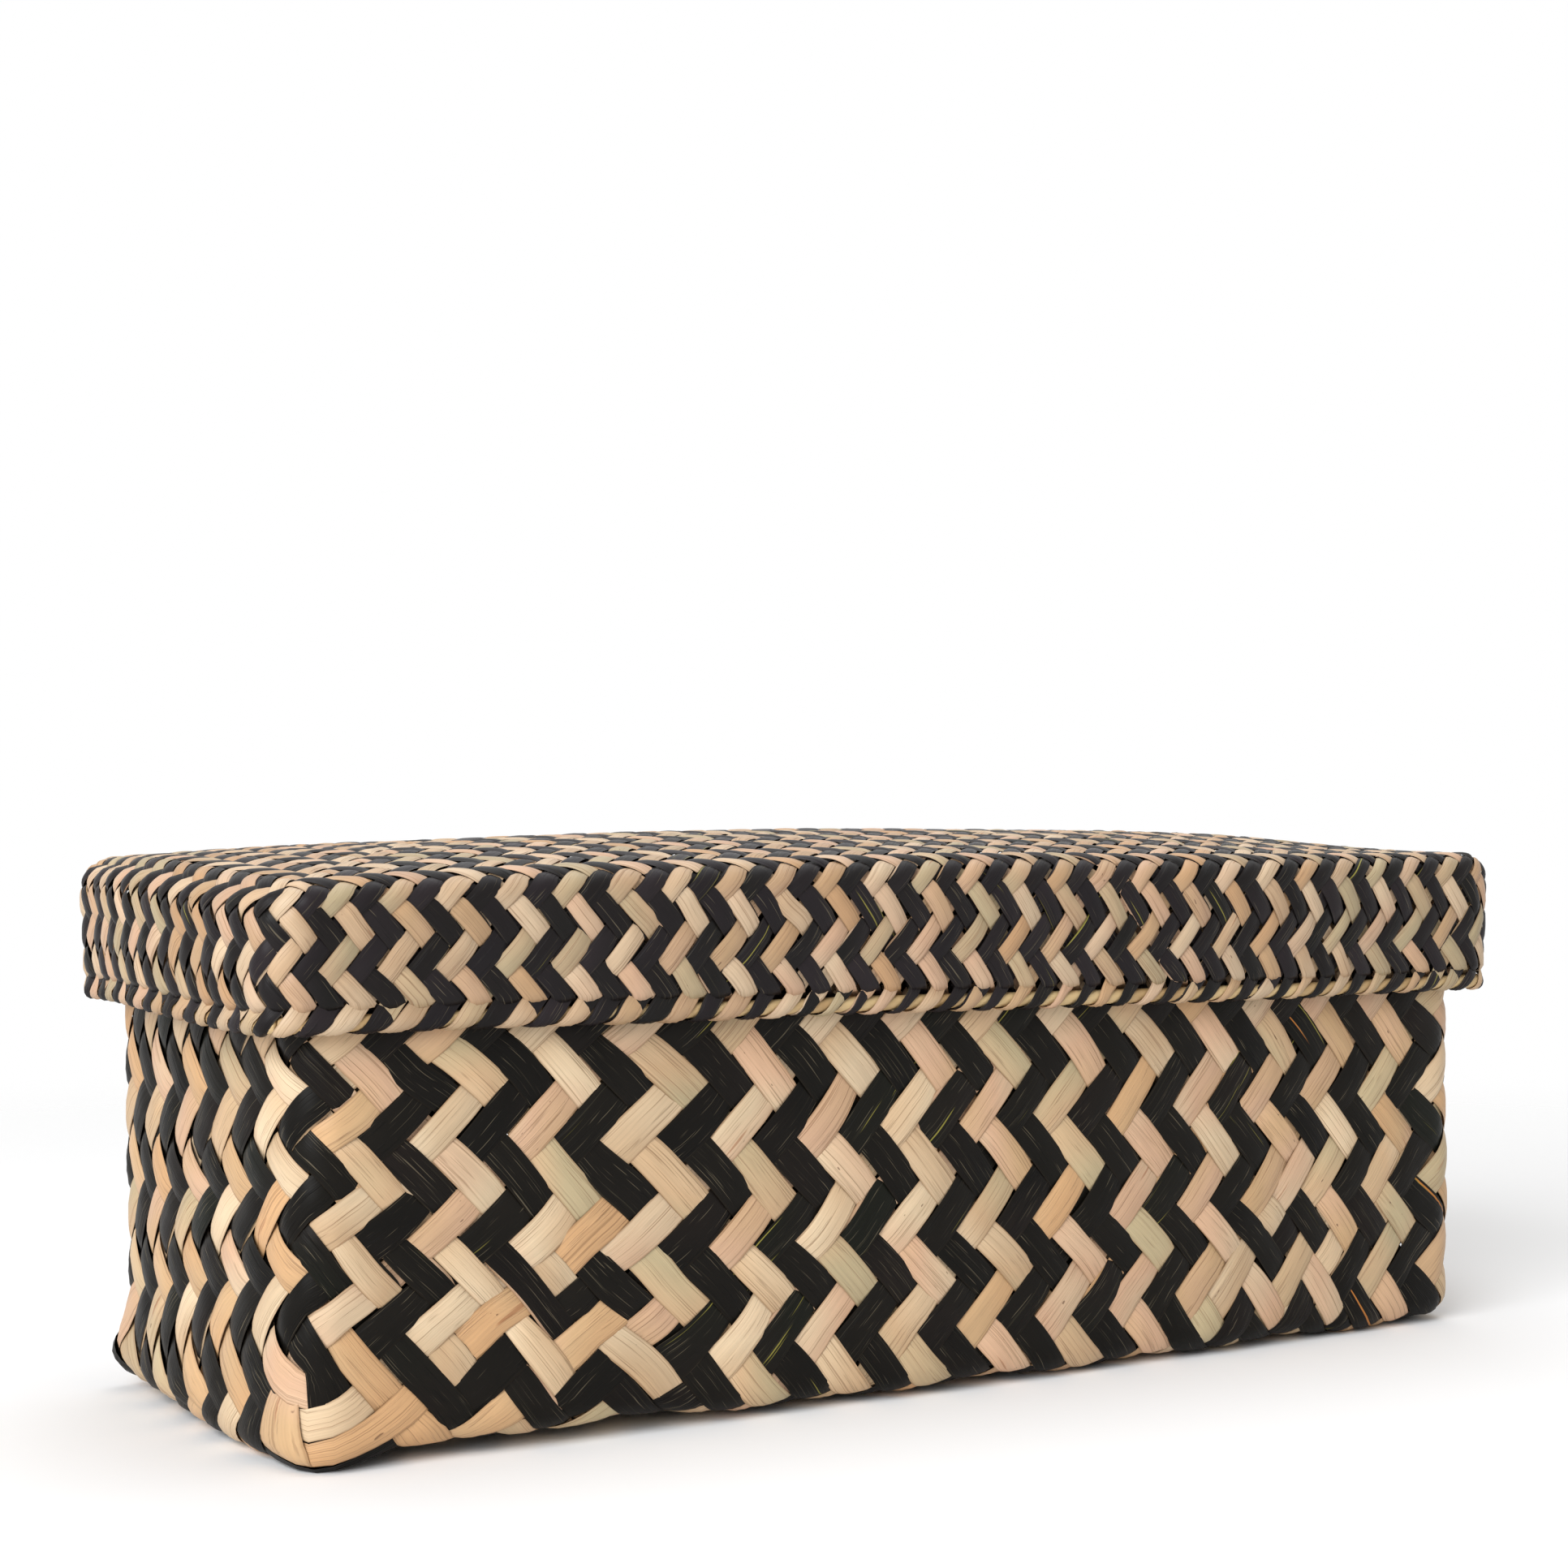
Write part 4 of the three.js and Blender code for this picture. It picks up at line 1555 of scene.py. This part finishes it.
@dataclass(frozen=True)
class CaneFinish:
    """The finish of a peeled cane."""

    name: str = "peeled_cane"
    pale: Colour = paint(214, 186, 136)
    brown: Colour = paint(150, 112, 66)
    fibre_stretch: Triple = (30.0, 900.0, 900.0)
    patch_stretch: Triple = (40.0, 40.0, 40.0)
    patch_range: Pair = (0.4, 0.7)
    patch_brown: float = 0.6
    fibre_brown: float = 0.3
    bump_strength: float = 0.4
    depth: float = 0.3 * MM
    roughness: float = 0.42
    roughness_spread: float = 0.2

    def build(self) -> bpy.types.Material:
        """Make the cane's material, with its long fibres and its uneven colour.

        Returns:
            The material.
        """
        material = bpy.data.materials.new(self.name)
        board = Board.of(material)
        place = board.node("ShaderNodeTexCoord", {}, {}, "Object")
        fibre = board.noise(place, self.fibre_stretch, 3.0)
        patch = board.noise(place, self.patch_stretch).over(*self.patch_range)
        browned = patch * self.patch_brown + fibre * self.fibre_brown
        board.finish({
            "Base Color": board.blend(browned, self.pale, self.brown),
            "Roughness": self.roughness + fibre * self.roughness_spread,
            "Normal": board.bump(fibre, self.bump_strength, self.depth),
        })
        return material


@dataclass(frozen=True)
class Lamp:
    """A square soft lamp that faces the box."""

    name: str
    place: Triple
    size: float
    power: float
    colour: Triple = (0.98, 1.0, 1.03)
    aim: Triple = (0.0, 0.0, 70.0 * MM)

    def build(self) -> None:
        """Hang the lamp."""
        light = bpy.data.lights.new(self.name, "AREA")
        light.energy, light.size, light.color = self.power, self.size, self.colour
        piece = linked(self.name, light)
        piece.location = self.place
        piece.rotation_euler = (Vector(self.aim) - Vector(self.place)).to_track_quat("-Z", "Y").to_euler()


@dataclass
class Studio:
    """The plain pale floor, the soft light and the camera at the photograph's angle."""

    camera_place: Triple = (-0.438, -0.6737, 0.1597)
    heading: float = 32.2
    lens: float = 62.38
    sensor: float = 36.0
    rise_shift: float = 0.017
    seen_from: float = 0.01
    seen_to: float = 50.0
    lamps: tuple[Lamp, ...] = (
        Lamp("key", place=(-1.75, -0.95, 1.15), size=1.5, power=50.0),
        Lamp("top", place=(0.4, 0.2, 1.9), size=1.8, power=17.0),
    )
    room_light: float = 0.43
    room_colour: Colour = (1.0, 0.97, 0.93, 1.0)
    white: Colour = (1.0, 1.0, 1.0, 1.0)
    floor_colour: Colour = (0.93, 0.93, 0.93, 1.0)
    floor_roughness: float = 0.9
    floor_reach: float = 6.0
    floor_fade: Pair = (0.95, 0.4)

    def build(self) -> None:
        """Set up the floor, the lamps, the world and the camera."""
        self.floor()
        for lamp in self.lamps:
            lamp.build()
        self.world()
        self.camera()
        bpy.context.scene.view_settings.view_transform = "Standard"

    def floor(self) -> None:
        """A wide pale floor that keeps the shadow and fades into the white room."""
        mesh = bpy.data.meshes.new("studio_floor")
        far = self.floor_reach
        mesh.from_pydata([(-far, -far, 0), (far, -far, 0), (far, far, 0), (-far, far, 0)], [], [(0, 1, 2, 3)])
        floor = linked("studio_floor", mesh)
        material = bpy.data.materials.new("pale_floor")
        board = Board.of(material)
        away = board.node("ShaderNodeTexCoord", {}, {}, "Object").length()
        board.finish({"Base Color": self.floor_colour, "Roughness": self.floor_roughness,
                      "Alpha": away.over(*self.floor_fade)})
        mesh.materials.append(material)

    def world(self) -> None:
        """An even pale room, which the camera and reflections see as white."""
        world = bpy.data.worlds.new("pale_room")
        world.use_nodes = True
        bpy.context.scene.world = world
        board = Board(world.node_tree, world.node_tree.nodes["Background"])
        rays = [board.node("ShaderNodeLightPath", {}, {}, f"Is {kind} Ray")
                for kind in ("Camera", "Glossy", "Transmission")]
        seen = (rays[0] + rays[1] + rays[2]).over(0.0, 1.0)
        board.finish({"Color": board.blend(seen, self.room_colour, self.white),
                      "Strength": self.room_light + seen * (1.0 - self.room_light)})

    def camera(self) -> None:
        """The camera, level and a little above the lid."""
        lens = bpy.data.cameras.new("camera")
        lens.lens, lens.sensor_width = self.lens, self.sensor
        lens.shift_y = self.rise_shift
        lens.clip_start, lens.clip_end = self.seen_from, self.seen_to
        piece = linked("camera", lens)
        piece.location = self.camera_place
        piece.rotation_euler = (math.pi / 2, 0.0, -math.radians(self.heading))
        bpy.context.scene.camera = piece


def dress_rest(leaf: bpy.types.Material, cane: bpy.types.Material) -> None:
    """Give the solids that stay in view their finish: leaf for the hems and cane for the rods.

    Args:
        leaf: The finish of the hems.
        cane: The finish of the rods.
    """
    for name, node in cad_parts.items():
        if not node.hide_render:
            node.data.materials.clear()
            node.data.materials.append(leaf if name.endswith("hem") else cane)


def finishes() -> dict[str, bpy.types.Material]:
    """Make the six finishes.

    Returns:
        The materials by name.
    """
    wide_natural = paints((189, 171, 134), (202, 169, 131), (218, 194, 160), (209, 170, 138), (199, 164, 122),
                          (201, 158, 113))
    fine_natural = paints((178, 160, 126), (190, 158, 124), (207, 182, 151), (196, 159, 130), (186, 153, 116),
                          (188, 148, 108))
    wide_dark = paints((17, 15, 11), (23, 20, 16), (14, 12, 9), (27, 22, 19), (20, 21, 15))
    fine_dark = paints((24, 20, 19), (31, 26, 28), (21, 19, 17), (38, 32, 34), (27, 23, 25))
    natural_streaks = (
        Streak((30.0, 2300.0, 1.0), 0.6, 0.7, paint(128, 92, 58), 0.5),
        Streak((45.0, 620.0, 1.0), 0.72, 0.78, paint(150, 92, 52), 0.6, share=0.4),
        Streak((300.0, 700.0, 1.0), 0.76, 0.8, paint(92, 58, 34), 0.7, share=0.4),
    )
    fine_streaks = (
        Streak((70.0, 3000.0, 1.0), 0.67, 0.74, paint(122, 112, 92), 0.5, relief=0.2),
        Streak((24.0, 2100.0, 1.0), 0.66, 0.72, paint(58, 54, 42), 0.5, share=0.6, relief=0.2),
        Streak((24.0, 900.0, 1.0), 0.71, 0.75, paint(150, 142, 66), 0.8, share=0.3, relief=0.3),
    )
    tan_streak = Streak((12.0, 620.0, 3.0), 0.73, 0.77, paint(190, 122, 58), 0.9, share=0.14, relief=0.3)
    # Each leaf's edge colour tints a band along a strip's edges; on the natural leaves it is darker, partly a
    # painted shade where the strips meet.
    made = {
        "basket_natural": LeafFinish(
            name="natural_leaf_wide", shades=wide_natural, creases=paint(126, 92, 60), crease_strength=0.32,
            streaks=natural_streaks, edge=paint(140, 104, 68), half_width=4.67 * MM, roughness=0.5,
            gloss=0.4, depth=0.3 * MM),
        "basket_dark": LeafFinish(
            name="dark_leaf_wide", shades=wide_dark, creases=paint(8, 7, 6), crease_strength=0.5,
            streaks=(*fine_streaks, tan_streak), edge=paint(30, 24, 16), half_width=4.67 * MM,
            roughness=0.45, gloss=0.1, depth=0.3 * MM),
        "lid_natural": LeafFinish(
            name="natural_leaf_fine", shades=fine_natural, creases=paint(120, 86, 56), crease_strength=0.32,
            streaks=natural_streaks, edge=paint(128, 94, 62), half_width=2.92 * MM, roughness=0.5,
            gloss=0.45, depth=0.22 * MM),
        "lid_dark": LeafFinish(
            name="dark_leaf_fine", shades=fine_dark, creases=paint(10, 9, 9), crease_strength=0.4,
            streaks=fine_streaks, edge=paint(32, 26, 22), half_width=2.92 * MM, roughness=0.42,
            gloss=0.14, depth=0.22 * MM),
        "hem": HemFinish(
            name="dark_leaf_hem", shades=wide_dark, creases=paint(8, 7, 6), crease_strength=0.5,
            streaks=(*fine_streaks, tan_streak), edge=paint(44, 37, 27), half_width=4.5 * MM,
            roughness=0.5, gloss=0.2, depth=0.3 * MM),
        "cane": CaneFinish(),
    }
    return {name: finish.build() for name, finish in made.items()}


def main() -> None:
    """Build the studio, the basket and the lid."""
    logging.basicConfig(level=logging.INFO, format="%(message)s")
    Studio().build()
    made = finishes()
    Basket(natural=made["basket_natural"], dark=made["basket_dark"]).build()
    Lid(natural=made["lid_natural"], dark=made["lid_dark"], cane=made["cane"]).build()
    dress_rest(made["hem"], made["cane"])


if __name__ == "__main__":
    main()
